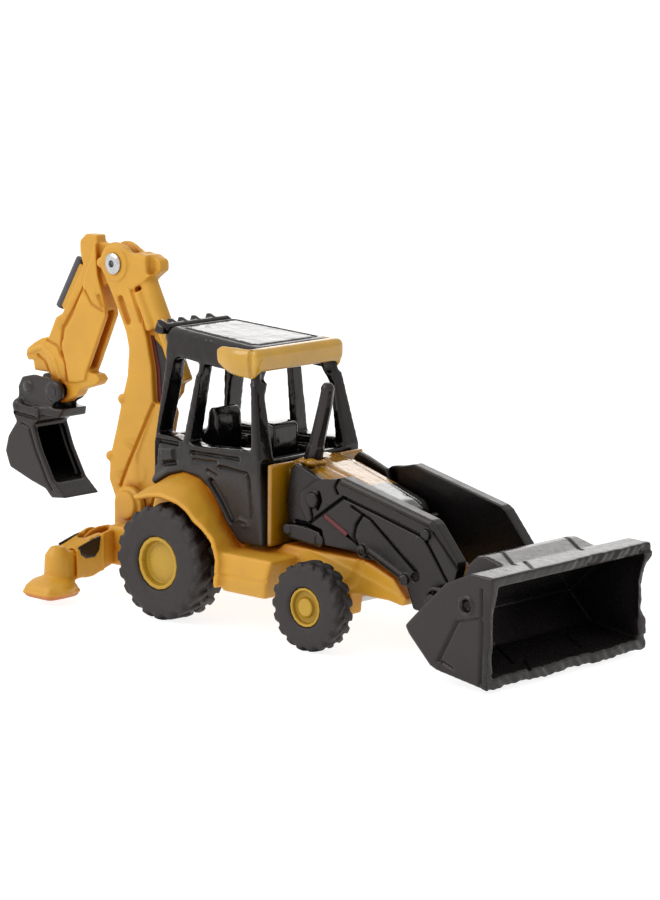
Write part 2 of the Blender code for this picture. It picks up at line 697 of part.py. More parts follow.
BUCKET_OUTLINE = [
    (43.5, 6.6), (44.1, 5.6), (47.6, 2.2), (48.6, 1.8), (56.9, 0.5), (56.5, 4.5), (56.5, 9.5),
    (57.3, 12.6), (57.3, 14.4), (53.8, 14.5), (49.9, 12.8), (46.4, 9.5),
]
BUCKET_INSIDE = [
    (45.2, 6.8), (48.9, 3.1), (58.0, 1.75), (58.0, 13.1), (54.2, 13.2), (50.6, 11.7), (47.2, 8.5),
]
BUCKET_HUMP = [
    (46.6, 9.0), (47.0, 11.9), (47.9, 13.8), (49.2, 15.0), (50.6, 15.2), (54.5, 14.2), (52.0, 12.9),
]
BUCKET_EAR = [
    (44.8, 8.9), (43.6, 10.2), *arc(BUCKET_PIVOT, 1.6, 75, 215, 6), (43.0, 5.9), (44.4, 5.4), (47.0, 8.6),
]


def build_loader_bucket(bucket):
    """The wide front bucket with its rear hump and the ears for the arms."""
    shell = plate("loader_bucket", BUCKET_OUTLINE, -BUCKET_HALF_WIDTH, BUCKET_HALF_WIDTH, BLACK_PLASTIC)
    place(shell, bucket)
    half = BUCKET_HUMP_HALF_WIDTH
    fuse(shell, bucket, plate("bucket_hump", BUCKET_HUMP, -half, half))
    for side in SIDES.values():
        for inner, outer in ((4.6, 5.5), (8.0, 8.9)):
            fuse(shell, bucket, side_plate("bucket_ear", BUCKET_EAR, inner, outer, side))
    room = BUCKET_HALF_WIDTH - BUCKET_WALL
    cut(shell, bucket, plate("bucket_inside", BUCKET_INSIDE, -room, room))
    cut(shell, bucket, cross_rod("ear_bores", BUCKET_PIVOT, PIN_RADIUS + GAP, -THROUGH, THROUGH))


# --- backhoe ------------------------------------------------------------------

BOOM_OUTLINE = [
    (-16.6, 13.6), *arc(BOOM_PIVOT, 2.5, 20, -120, 8), (-20.3, 10.3), (-21.2, 12.0), (-22.3, 14.2),
    (-22.1, 17.4), (-20.9, 21.4), (-19.8, 25.5), (-18.8, 28.8), (-18.5, 32.5), (-19.1, 34.8),
    (-20.2, 36.9), (-21.4, 39.0), (-23.0, 41.7), *arc(STICK_PIVOT, 2.9, 200, 60, 10),
    (-18.2, 45.6), (-17.0, 45.4), (-15.2, 45.5), (-13.7, 44.7), (-13.6, 43.4), (-15.5, 42.0),
    (-17.5, 40.8), (-16.8, 38.0), (-15.2, 34.5), (-14.2, 30.3), (-13.8, 25.0), (-17.0, 18.0),
]
BOOM_CYLINDER = [
    (-17.4, 10.9), (-14.6, 11.6), (-13.6, 14.0), (-11.3, 24.4), (-11.9, 25.6), (-13.9, 25.6), (-18.2, 16.0),
]
BOOM_WEB = [
    (-16.5, 41.0), (-15.9, 30.0), (-14.7, 25.0), (-12.0, 24.6), (-9.6, 27.4), (-9.2, 30.0), (-13.4, 37.4),
]


def build_swing(swing):
    """The bracket that turns the whole backhoe sideways on its king pin."""
    cheek = [(-19.9, 5.6), (-14.8, 5.6), *arc(BOOM_PIVOT, 2.6, -10, 190, 12)]
    bracket = plate("swing_bracket", cheek, -2.8, 2.8, YELLOW_PLASTIC)
    place(bracket, swing)
    room = BOOM_HALF_WIDTH + GAP
    clearance = box("foot_room", (-24, -room, 7.4), (-12, room, 16))
    pin_bore = cross_rod("boom_pin_bore", BOOM_PIVOT, PIN_RADIUS + GAP, -6, 6)
    king_bore = rod("king_bore", (SWING_X, 0, 4), (SWING_X, 0, 9), AXLE_RADIUS + GAP)
    cut(bracket, swing, clearance, pin_bore, king_bore)
    place(rod("swing_pin", (SWING_X, 0, 3.4), (SWING_X, 0, 7.2), AXLE_RADIUS, BRIGHT_STEEL), swing)
    place(cross_rod("boom_pin", BOOM_PIVOT, PIN_RADIUS, -3.2, 3.2, YELLOW_PLASTIC), swing)


def build_boom(boom):
    """The curved boom: beam, thin web, two moulded cylinders and forked head."""
    beam = plate("boom", BOOM_OUTLINE, -BOOM_HALF_WIDTH, BOOM_HALF_WIDTH, YELLOW_PLASTIC)
    place(beam, boom)
    fuse(beam, boom, plate("boom_cylinder", BOOM_CYLINDER, -1.2, 1.2))
    fuse(beam, boom, plate("boom_web", BOOM_WEB, -0.45, 0.45))
    fuse(beam, boom, rod("crowd_cylinder", (-16.3, 0, 42.2), (-9.3, 0, 28.8), 1.25))
    slot_half = BOOM_SLOT_HALF_WIDTH
    slot = box("head_slot", (-26, -slot_half, 40.2), (-17.9, slot_half, 50))
    pivot_bore = cross_rod("rivet_bore", STICK_PIVOT, PIN_RADIUS + GAP, -4, 4)
    foot_bore = cross_rod("foot_bore", BOOM_PIVOT, PIN_RADIUS + GAP, -4, 4)
    cut(beam, boom, slot, pivot_bore, foot_bore)


STICK_OUTLINE = [
    (-25.2, 47.3), (-24.9, 44.0), (-24.7, 41.8), (-23.7, 39.2), (-23.2, 36.4), (-25.2, 32.2), (-27.0, 28.4),
    (-25.3, 28.2), (-24.6, 27.5), (-25.3, 26.7), (-28.5, 25.7), (-29.1, 24.8),
    *arc(HOE_PIVOT, 1.75, -40, -170, 6), (-34.4, 26.8), (-35.4, 28.4), (-36.5, 29.3), (-37.7, 29.0),
    (-38.9, 28.7), (-39.4, 29.5), (-39.1, 30.4), (-37.6, 31.4), (-36.2, 32.1), (-34.8, 32.4), (-34.0, 33.9),
    (-33.3, 35.3), (-32.0, 36.0), (-27.9, 43.0), (-28.5, 44.7), (-28.5, 46.3), (-27.4, 47.3),
]
STICK_PANEL = [
    (-25.1, 46.5), (-24.9, 44.0), (-24.7, 41.8), (-23.7, 39.2), (-23.1, 36.5), (-25.1, 32.2), (-27.0, 28.2),
    (-27.2, 27.2), (-28.6, 26.8), (-30.4, 26.6), (-31.1, 29.5), (-31.8, 31.7), (-31.3, 32.7), (-31.1, 34.0),
    (-30.2, 34.7), (-27.5, 40.1), (-27.1, 41.9), (-26.0, 44.1),
]
STICK_CHANNEL = [(-26.4, 28.4), (-22.0, 37.6), (-24.3, 36.9), (-26.3, 32.8), (-27.9, 29.3)]
STICK_TONGUE = [*arc(STICK_PIVOT, 2.5, 110, -110, 14), (-24.2, 40.4), (-25.6, 42.0), (-26.0, 46.4)]
BUCKET_LINK = [(-38.2, 29.6), (-35.8, 29.8), (-34.2, 28.0), (-34.4, 27.4), (-37.8, 27.4)]


def build_stick(stick):
    """The stick with its tongue in the boom's fork and the hooked bucket lever."""
    rim = STICK_RIM_HALF_WIDTH
    panel = STICK_HALF_WIDTH
    hollow = STICK_CHANNEL_HALF_WIDTH
    thin = STICK_TONGUE_HALF_WIDTH
    arm = plate("stick", STICK_OUTLINE, -rim, rim, YELLOW_PLASTIC)
    place(arm, stick)
    fuse(arm, stick, plate("stick_panel", STICK_PANEL, -panel, panel))
    cut(arm, stick, plate("stick_channel", STICK_CHANNEL, -hollow, hollow))
    fuse(arm, stick, plate("stick_tongue", STICK_TONGUE, -thin, thin))
    fuse(arm, stick, plate("bucket_link", BUCKET_LINK, -0.75, 0.75))
    pivot_bore = cross_rod("tongue_bore", STICK_PIVOT, PIN_RADIUS + GAP, -4, 4)
    hoe_bore = cross_rod("stick_end_bore", HOE_PIVOT, PIN_RADIUS + GAP, -4, 4)
    cut(arm, stick, pivot_bore, hoe_bore)
    ram = rod("stick_ram", (-29.1, 0, 43.7), (-33.2, 0, 36.7), 0.72, TYRE_PLASTIC)
    place(ram, stick)
    place(cross_rod("hoe_bucket_pin", HOE_PIVOT, PIN_RADIUS, -2.7, 2.7, BLACK_PLASTIC), stick)


def build_rivet(boom):
    """The tubular rivet at the boom's head, with a hollow end on each side."""
    head = 1.45
    seat = BOOM_HALF_WIDTH + GAP / 2
    end = seat + 0.5
    hollow = 0.5
    profile = [
        (0, seat - 0.6), (hollow, seat - 0.6), (hollow, end), (head - 0.35, end), (head, end - 0.2),
        (head, seat), (PIN_RADIUS, seat), (PIN_RADIUS, -seat), (head, -seat), (head, -end + 0.2),
        (head - 0.35, -end), (hollow, -end), (hollow, -seat + 0.6), (0, -seat + 0.6),
    ]
    centre = (STICK_PIVOT[0], 0, STICK_PIVOT[1])
    place_turned(open_profile_turned("stick_rivet", profile, 1, centre, BRIGHT_STEEL), boom)


HOE_BODY = [
    (-38.8, 20.4), (-40.5, 18.2), (-41.1, 16.0), (-40.2, 13.8), (-36.0, 12.4), (-33.0, 11.6), (-31.8, 10.5),
    (-29.0, 10.8), (-31.6, 12.9), (-34.0, 16.9), (-35.4, 20.3), (-34.4, 21.0), (-34.4, 22.6), (-39.0, 23.0),
    (-39.6, 21.6),
]
HOE_INSIDE = [
    (-36.4, 19.8), (-39.0, 18.0), (-39.9, 16.0), (-39.2, 14.6), (-33.2, 12.9), (-30.0, 12.4), (-30.0, 19.8),
]
HOE_LUG = [
    (-39.3, 22.0), (-39.4, 25.2), (-38.6, 26.6), (-36.5, 27.1), *arc(HOE_PIVOT, 1.6, 90, -80, 7),
    (-34.6, 21.8),
]


def build_hoe_bucket(hoe):
    """The small digging bucket with two lugs on the stick's end pin."""
    bucket = plate("hoe_bucket", HOE_BODY, -HOE_HALF_WIDTH, HOE_HALF_WIDTH, BLACK_PLASTIC)
    place(bucket, hoe)
    for side in SIDES.values():
        fuse(bucket, hoe, side_plate("hoe_lug", HOE_LUG, HOE_LUG_IN, HOE_LUG_OUT, side))
    fuse(bucket, hoe, cross_rod("lug_bar", (-37.2, 25.2), 0.8, -2.0, 2.0))
    room = HOE_HALF_WIDTH - HOE_WALL
    cut(bucket, hoe, plate("hoe_inside", HOE_INSIDE, -room, room))
    cut(bucket, hoe, cross_rod("lug_bore", HOE_PIVOT, PIN_RADIUS + GAP, -4, 4))


# --- stabilisers --------------------------------------------------------------


STABILISER_BEAM = [(10.3, 4.1), (10.3, 7.9), (15.8, 6.6), (16.6, 3.2), (14.0, 2.45)]
STABILISER_PAD = [(13.6, 0.7), (19.0, 0.7), (19.6, 1.5), (19.1, 2.7), (13.9, 2.7), (13.2, 1.6)]
RAM_POCKET = [(10.9, 5.4), (11.2, 9.5), (14.6, 8.5), (14.3, 5.6)]


def hinge_rod(name, side, half_length, radius, mat=None):
    """A round bar along X through one stabiliser's hinge."""
    y = side * STABILISER_PIVOT_Y
    z = STABILISER_PIVOT_Z
    return rod(name, (STABILISER_X - half_length, y, z), (STABILISER_X + half_length, y, z), radius, mat)


def stabiliser_solid(name, outline, side, half_x, mat=None):
    """A plate across the machine: its outline is (distance from the middle, z)."""
    points = []
    for y, z in outline:
        points.append((STABILISER_X - half_x, side * y, z))
        points.append((STABILISER_X + half_x, side * y, z))
    return hull(name, points, mat)


def build_stabiliser(body, label, side):
    """One leg with its foot, its hinge pin and the pocket set in its upper side."""
    leg = stabiliser_solid("stabiliser_leg_" + label, STABILISER_BEAM, side, 1.5, YELLOW_PLASTIC)
    place(leg, body)
    hinge = (STABILISER_PIVOT_Y, STABILISER_PIVOT_Z)
    tongue = [*arc(hinge, 1.8, 90, 270, 8), (11.5, 4.6), (11.5, 7.5)]
    fuse(leg, body, stabiliser_solid("leg_tongue", tongue, side, 0.65))
    foot_y = side * STABILISER_FOOT_Y
    x = STABILISER_X
    knuckle = rod("leg_knuckle", (x, foot_y, 2.0), (x, foot_y, 6.4), 1.9, end_radius=1.7)
    cap = rod("leg_cap", (x, foot_y, 6.2), (x, foot_y, 7.5), 1.75, end_radius=0.9)
    fuse(leg, body, knuckle, cap, stabiliser_solid("leg_pad", STABILISER_PAD, side, 2.7))
    cut(leg, body, stabiliser_solid("ram_pocket", RAM_POCKET, side, 0.7))
    cut(leg, body, hinge_rod("leg_bore", side, 3, PIN_RADIUS + GAP))
    place(hinge_rod("stabiliser_pin_" + label, side, 1.8, PIN_RADIUS, YELLOW_PLASTIC), body)


# --- the machine --------------------------------------------------------------


def build_machine():
    """Set out the moving bodies and build every piece on its own one."""
    root = make_root()
    rear_axle = empty("rear_axle_body", (0, 0, REAR_TYRE_RADIUS), root)
    front_axle = empty("front_axle_body", (WHEELBASE, 0, FRONT_TYRE_RADIUS), root)
    loader = empty("loader_body", (LOADER_PIVOT[0], 0, LOADER_PIVOT[1]), root)
    bucket = empty("bucket_body", (BUCKET_PIVOT[0], 0, BUCKET_PIVOT[1]), loader)
    swing = empty("swing_body", (SWING_X, 0, 0), root)
    boom = empty("boom_body", (BOOM_PIVOT[0], 0, BOOM_PIVOT[1]), swing)
    stick = empty("stick_body", (STICK_PIVOT[0], 0, STICK_PIVOT[1]), boom)
    hoe = empty("hoe_body", (HOE_PIVOT[0], 0, HOE_PIVOT[1]), stick)
    build_chassis(root)
    build_base_screws(root)
    build_wheels(rear_axle, front_axle)
    build_cab(root)
    build_visor(root)
    build_cab_inside(root)
    build_hood(root)
    build_grille(root)
    build_exhaust(root)
    build_rear_lights(root)
    build_loader_frame(root)
    build_loader_arms(loader)
    build_loader_bucket(bucket)
    build_swing(swing)
    build_boom(boom)
    build_rivet(boom)
    build_stick(stick)
    build_hoe_bucket(hoe)
    for label, side in SIDES.items():
        hinge = (STABILISER_X, side * STABILISER_PIVOT_Y, STABILISER_PIVOT_Z)
        leg = empty("stabiliser_body_" + label, hinge, root)
        build_stabiliser(leg, label, side)


build_machine()
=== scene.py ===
"""The looks of a pocket-size toy backhoe loader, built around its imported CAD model.

Lengths are millimetres in the machine's own frame: x runs forwards from the rear axle, y to the
left of a driver and z up from the floor. MACHINE_X and MM turn them into the scene's metres.
"""

import json
import math

import bmesh
import bpy
import numpy as np
from mathutils import Matrix, Vector


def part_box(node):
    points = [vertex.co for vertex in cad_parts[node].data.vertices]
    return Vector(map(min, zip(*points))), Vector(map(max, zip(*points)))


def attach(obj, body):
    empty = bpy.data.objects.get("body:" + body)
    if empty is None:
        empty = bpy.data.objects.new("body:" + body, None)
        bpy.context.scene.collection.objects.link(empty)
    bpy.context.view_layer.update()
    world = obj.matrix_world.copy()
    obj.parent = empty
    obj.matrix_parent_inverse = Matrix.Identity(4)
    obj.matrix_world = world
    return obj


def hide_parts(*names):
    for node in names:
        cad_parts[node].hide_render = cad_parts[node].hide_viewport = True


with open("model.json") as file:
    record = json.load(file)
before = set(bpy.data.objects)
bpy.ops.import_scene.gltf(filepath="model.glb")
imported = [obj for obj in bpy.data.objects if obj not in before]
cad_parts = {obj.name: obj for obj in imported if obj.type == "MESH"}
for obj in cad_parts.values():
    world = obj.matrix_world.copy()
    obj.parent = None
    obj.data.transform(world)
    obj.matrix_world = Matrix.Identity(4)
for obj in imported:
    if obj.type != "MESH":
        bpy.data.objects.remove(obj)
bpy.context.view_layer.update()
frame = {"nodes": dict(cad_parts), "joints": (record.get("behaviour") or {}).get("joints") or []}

MM = 0.001
JOINTS = {joint["name"]: joint for joint in frame["joints"]}
MACHINE_X = JOINTS["rear_axle_spin"]["pos_m"][0] / MM
RIGHT = -1
LEFT = 1
SIDES = {"right": RIGHT, "left": LEFT}
QUICK_COARSENESS = 1.0
# Reach of the ambient occlusion that paints shade into nooks, in millimetres.
PAINTED_SHADE_REACH = 3.0
CREVICE_REACH = 0.9
FULL_SHEEN = 0.42
NEUTRAL = (1, 1, 1)
WARM = (1.0, 0.92, 0.89)
BLACK_PAINT = (0.004, 0.0035, 0.0035)
# A lighter grey painted low on the cab as a painted reflection of the bright room, and the height over which
# it fades out.
PAINTED_SHEEN_GREY = (0.022, 0.0195, 0.019)
SHEEN_FADE_HEIGHT = 4


def pivot(joint):
    """A joint's place in the machine's frame, in millimetres."""
    x, y, z = JOINTS[joint]["pos_m"]
    return Vector((x / MM - MACHINE_X, y / MM, z / MM))


def limits(node):
    """A CAD node's lowest and highest corners in the machine's frame, in millimetres."""
    shift = Vector((MACHINE_X, 0, 0))
    low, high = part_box(node)
    return low / MM - shift, high / MM - shift


REAR_AXLE = pivot("rear_axle_spin")
FRONT_AXLE = pivot("front_axle_spin")
LOADER_PIVOT = pivot("loader_lift")
BOOM_PIVOT = pivot("boom_reach")
STICK_PIVOT = pivot("stick_crowd")
HOE_PIVOT = pivot("hoe_bucket_curl")


# --- solids, in millimetres ---------------------------------------------------


def cad_copy(*nodes):
    """The shapes of CAD nodes, as solids to work on."""
    bm = bmesh.new()
    for node in nodes:
        bm.from_mesh(frame["nodes"][node].data)
    bmesh.ops.scale(bm, vec=(1 / MM, 1 / MM, 1 / MM), verts=bm.verts)
    bmesh.ops.translate(bm, vec=(-MACHINE_X, 0, 0), verts=bm.verts)
    bmesh.ops.remove_doubles(bm, verts=bm.verts, dist=0.002)
    return bm


def add_slab(bm, outline, low, high):
    """A flat solid: an outline in the x-z plane, thick from y = low to y = high."""
    verts = [bm.verts.new((x, low, z)) for x, z in outline]
    face = bm.faces.new(verts)
    grown = bmesh.ops.extrude_face_region(bm, geom=[face])
    moved = [g for g in grown["geom"] if isinstance(g, bmesh.types.BMVert)]
    bmesh.ops.translate(bm, vec=(0, high - low, 0), verts=moved)
    bmesh.ops.recalc_face_normals(bm, faces=list({f for v in verts + moved for f in v.link_faces}))


def add_hull(bm, points):
    """The convex solid around some points."""
    verts = [bm.verts.new(p) for p in points]
    made = bmesh.ops.convex_hull(bm, input=verts)
    spare = [g for g in made["geom_interior"] + made["geom_unused"] if isinstance(g, bmesh.types.BMVert)]
    bmesh.ops.delete(bm, geom=list(set(spare)), context="VERTS")


def add_block(bm, low, high):
    """A rectangular block between two corners."""
    (x0, y0, z0), (x1, y1, z1) = low, high
    add_hull(bm, [(x, y, z) for x in (x0, x1) for y in (y0, y1) for z in (z0, z1)])


def add_bar(bm, start, end, radius, end_radius=None, sides=32):
    """A round bar or a cone between two points."""
    start = Vector(start)
    end = Vector(end)
    turn = (end - start).to_track_quat("Z", "Y").to_matrix().to_4x4()
    place = Matrix.Translation((start + end) / 2) @ turn
    tip = radius if end_radius is None else end_radius
    bmesh.ops.create_cone(bm, cap_ends=True, segments=sides, radius1=radius, radius2=tip,
                          depth=(end - start).length, matrix=place)


def add_ball(bm, centre, radius, stretch=(1, 1, 1)):
    """A ball, or an egg where it is stretched along the axes."""
    place = Matrix.Translation(centre) @ Matrix.Diagonal((*stretch, 1))
    bmesh.ops.create_uvsphere(bm, u_segments=24, v_segments=14, radius=radius, matrix=place)


def add_tube(bm, route, sides=24):
    """A round tube along a route of (x, y, z, radius), made of bars and balls."""
    for (*start, r0), (*end, r1) in zip(route, route[1:]):
        add_bar(bm, start, end, r0, r1, sides)
        add_ball(bm, end, r1)


def arc(centre, radius, start, end, steps):
    """Points along an arc in the x-z plane, with angles in degrees."""
    angles = [math.radians(start + (end - start) * i / steps) for i in range(steps + 1)]
    return [(centre[0] + radius * math.cos(a), centre[1] + radius * math.sin(a)) for a in angles]


# --- a skin whose points can be pushed about ----------------------------------


class Clay:
    """Overlapping solids joined into one soft-edged skin of small even faces."""

    def __init__(self, solids, holes=None, grain=0.16, rounding=0.3):
        mesh = bpy.data.meshes.new("clay")
        solids.to_mesh(mesh)
        solids.free()
        obj = bpy.data.objects.new("clay", mesh)
        bpy.context.collection.objects.link(obj)
        cutter = None
        if holes:
            cutter_mesh = bpy.data.meshes.new("holes")
            holes.to_mesh(cutter_mesh)
            holes.free()
            cutter = bpy.data.objects.new("holes", cutter_mesh)
            bpy.context.collection.objects.link(cutter)
            cut = obj.modifiers.new("cut", "BOOLEAN")
            cut.operation = "DIFFERENCE"
            cut.use_self = True
            cut.object = cutter
        skin = obj.modifiers.new("skin", "REMESH")
        skin.mode = "VOXEL"
        skin.voxel_size = grain * QUICK_COARSENESS
        graph = bpy.context.evaluated_depsgraph_get()
        self.mesh = bpy.data.meshes.new_from_object(obj.evaluated_get(graph))
        for spare in (obj, cutter):
            if spare:
                bpy.data.objects.remove(spare)
        count = len(self.mesh.vertices)
        self.points = np.empty(count * 3)
        self.mesh.vertices.foreach_get("co", self.points)
        self.points = self.points.reshape(-1, 3)
        self.edges = np.empty(len(self.mesh.edges) * 2, int)
        self.mesh.edges.foreach_get("vertices", self.edges)
        self.edges = self.edges.reshape(-1, 2)
        self.relax(round(2 * (rounding / (grain * QUICK_COARSENESS)) ** 2))

    def relax(self, rounds, where=None):
        """Moves each point towards the middle of its neighbours, which rounds the edges."""
        count = len(self.points)
        first, second = self.edges.T
        share = np.bincount(self.edges.ravel(), minlength=count).clip(1)[:, None]
        for _ in range(rounds):
            total = np.stack([np.bincount(first, self.points[second, i], count)
                              + np.bincount(second, self.points[first, i], count) for i in range(3)], 1)
            step = (total / share - self.points) / 2
            self.points += step if where is None else step * where[:, None]
        self.mesh.vertices.foreach_set("co", self.points.ravel())
        self.mesh.update()
        self.normals = np.empty(count * 3)
        self.mesh.vertex_normals.foreach_get("vector", self.normals)
        self.normals = self.normals.reshape(-1, 3)

    def facing(self, way, least=0.45):
        """Which points look a certain way, as numbers from 0 to 1."""
        return ((self.normals @ np.array(way, float) - least) / 0.2).clip(0, 1)

    def push(self, amount, way):
        """Moves the points by their amounts along a direction."""
        self.points += np.asarray(amount)[:, None] * np.array(way, float)

    def path_distance(self, path, flat):
        """How far each point is from a line of points, leaving out the axis named by flat."""
        axes = [i for i in range(3) if i != flat]
        here = self.points[:, axes]
        best = np.full(len(here), 1e9)
        for start, end in zip(path, path[1:]):
            a = np.array(start, float)
            b = np.array(end, float)
            along = ((here - a) @ (b - a) / max((b - a) @ (b - a), 1e-9)).clip(0, 1)
            best = np.minimum(best, np.linalg.norm(here - a - along[:, None] * (b - a), axis=1))
        return best

    def inside(self, outline, flat):
        """How deep each point lies inside an outline, negative outside it."""
        axes = [i for i in range(3) if i != flat]
        x, z = self.points[:, axes].T
        odd = np.zeros(len(x), bool)
        closed = [*outline, outline[0]]
        for (x0, z0), (x1, z1) in zip(closed, closed[1:]):
            crosses = (z0 > z) != (z1 > z)
            odd ^= crosses & (x < (x1 - x0) * (z - z0) / ((z1 - z0) or 1e-9) + x0)
        depth = self.path_distance(closed, flat)
        return np.where(odd, depth, -depth)

    def groove(self, path, width, depth, way, band=None, flat=1):
        """Sinks a rounded groove along a path, or raises a rib where depth is negative."""
        share = (1 - (self.path_distance(path, flat) / (width / 2)) ** 2).clip(0, 1) ** 0.7
        self.push(-depth * share * self.facing(way) * self.banded(band, flat), way)

    def raised(self, outline, height, way, soft=0.3, band=None, flat=1):
        """Raises the area inside an outline, or sinks it where height is negative."""
        share = (self.inside(outline, flat) / soft + 0.5).clip(0, 1)
        share = share * share * (3 - 2 * share)
        self.push(height * share * self.facing(way) * self.banded(band, flat), way)

    def banded(self, band, flat):
        """Which points lie between two limits along the axis named by flat."""
        if band is None:
            return 1.0
        return ((self.points[:, flat] >= band[0]) & (self.points[:, flat] <= band[1])).astype(float)

    def piece(self, name, mat, body, replaced=(), slot=None, keep=0.5):
        """Turns the skin into a piece that rides on a body and stands for CAD nodes."""
        self.points[:, 0] += MACHINE_X
        self.mesh.vertices.foreach_set("co", (self.points * MM).ravel())
        self.mesh.update()
        obj = bpy.data.objects.new(name, self.mesh)
        bpy.context.collection.objects.link(obj)
        obj.data.shade_smooth()
        if keep < 1:
            thin = obj.modifiers.new("thin", "DECIMATE")
            thin.ratio = keep
        obj.modifiers.new("even", "WEIGHTED_NORMAL")
        graph = bpy.context.evaluated_depsgraph_get()
        obj.data = bpy.data.meshes.new_from_object(obj.evaluated_get(graph))
        obj.modifiers.clear()
        obj.data.materials.clear()
        obj.data.materials.append(mat)
        return hand_over(obj, body, replaced)


def hand_over(obj, body, replaced=()):
    """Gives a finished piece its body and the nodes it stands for."""
    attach(obj, body)
    if replaced:
        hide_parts(*replaced)
    return obj


# --- materials ----------------------------------------------------------------


def new_material(name):
    """A Principled material, with its tree, shader node and object coordinates."""
    mat = bpy.data.materials.new(name)
    mat.use_nodes = True
    tree = mat.node_tree
    shader = tree.nodes["Principled BSDF"]
    place = tree.nodes.new("ShaderNodeTexCoord").outputs["Object"]
    return mat, tree, shader, place


def noise(tree, place, size, detail=3.0, roughness=0.55):
    """A noise pattern whose blotches are about size millimetres across."""
    node = tree.nodes.new("ShaderNodeTexNoise")
    node.inputs["Scale"].default_value = 1 / (size * MM)
    node.inputs["Detail"].default_value = detail
    node.inputs["Roughness"].default_value = roughness
    tree.links.new(place, node.inputs["Vector"])
    return node.outputs["Fac"]


def remap(tree, value, low, high, out_low, out_high):
    """Spreads a value between new limits."""
    node = tree.nodes.new("ShaderNodeMapRange")
    for label, number in zip(("From Min", "From Max", "To Min", "To Max"), (low, high, out_low, out_high)):
        node.inputs[label].default_value = number
    tree.links.new(value, node.inputs["Value"])
    return node.outputs["Result"]


def mixed(tree, share, first, second):
    """A blend of two colours, each a colour or another node's output."""
    node = tree.nodes.new("ShaderNodeMix")
    node.data_type = "RGBA"
    sockets = [s for s in node.inputs if s.type == "RGBA"]
    for socket, colour in zip(sockets, (first, second)):
        if isinstance(colour, tuple):
            socket.default_value = (*colour, 1)
        else:
            tree.links.new(colour, socket)
    if isinstance(share, float):
        node.inputs["Factor"].default_value = share
    else:
        tree.links.new(share, node.inputs["Factor"])
    return next(s for s in node.outputs if s.type == "RGBA")


def arithmetic(tree, operation, first, second):
    """A sum, product or power of two numbers, each a number or another node's output."""
    node = tree.nodes.new("ShaderNodeMath")
    node.operation = operation
    for socket, value in zip(node.inputs, (first, second)):
        if isinstance(value, (int, float)):
            socket.default_value = value
        else:
            tree.links.new(value, socket)
    return node.outputs["Value"]


def openness(tree, reach, samples=8):
    """How open a spot is to its surroundings: 1 on open faces, less in nooks."""
    node = tree.nodes.new("ShaderNodeAmbientOcclusion")
    node.samples = samples
    node.inputs["Distance"].default_value = reach * MM
    return node.outputs["AO"]


def add_bump(tree, shader, place, *layers):
    """Fine relief from noises, each layer a (size, height) in millimetres."""
    before = None
    for size, height in layers:
        bump = tree.nodes.new("ShaderNodeBump")
        bump.inputs["Strength"].default_value = 1.0
        bump.inputs["Distance"].default_value = height * MM
        tree.links.new(noise(tree, place, size), bump.inputs["Height"])
        if before:
            tree.links.new(before, bump.inputs["Normal"])
        before = bump.outputs["Normal"]
    tree.links.new(before, shader.inputs["Normal"])


def past(tree, place, axis, low, high):
    """A share that grows from 0 to 1 between two places along an axis, in millimetres."""
    split = tree.nodes.new("ShaderNodeSeparateXYZ")
    tree.links.new(place, split.inputs[0])
    wobble = arithmetic(tree, "MULTIPLY", noise(tree, place, 2.5), 1.2 * MM)
    return remap(tree, arithmetic(tree, "ADD", split.outputs[axis], wobble), low * MM, high * MM, 0.0, 1.0)


def dull_crevices(tree, shader, tint):
    """Takes the sheen out of grooves and gaps, where nothing bright is reflected."""
    level = remap(tree, openness(tree, CREVICE_REACH, 5), 0.45, 0.92, 0.04, FULL_SHEEN)
    tree.links.new(level, shader.inputs["Specular IOR Level"])
    shader.inputs["Specular Tint"].default_value = (*tint, 1)


def moulded_plastic(name, face, painted_shade, roughness, glow=0.0, bumps=((0.5, 0.012), (3.0, 0.06)),
                    reach=PAINTED_SHADE_REACH, sheen=NEUTRAL):
    """Matte moulded plastic with painted shade: its nooks are blended towards a darker shade colour, and
    light spreads in it.
    """
    mat, tree, shader, place = new_material(name)
    tint = remap(tree, noise(tree, place, 4.0), 0.3, 0.7, 0.0, 1.0)
    light = tuple(c * 1.05 for c in face)
    dark = tuple(c * 0.95 for c in face)
    patchy = mixed(tree, tint, dark, light)
    # Painted shade: ambient occlusion blends the face colour towards the darker shade colour in nooks.
    unshaded_share = remap(tree, openness(tree, reach), 0.3, 0.85, 0.0, 1.0)
    tree.links.new(mixed(tree, unshaded_share, painted_shade, patchy), shader.inputs["Base Color"])
    dull_crevices(tree, shader, sheen)
    rough = remap(tree, noise(tree, place, 0.8), 0.3, 0.7, roughness - 0.05, roughness + 0.06)
    tree.links.new(rough, shader.inputs["Roughness"])
    shader.inputs["Subsurface Weight"].default_value = glow
    shader.inputs["Subsurface Radius"].default_value = (1.0, 0.42, 0.12)
    shader.inputs["Subsurface Scale"].default_value = 1.1 * MM
    add_bump(tree, shader, place, *bumps)
    return mat


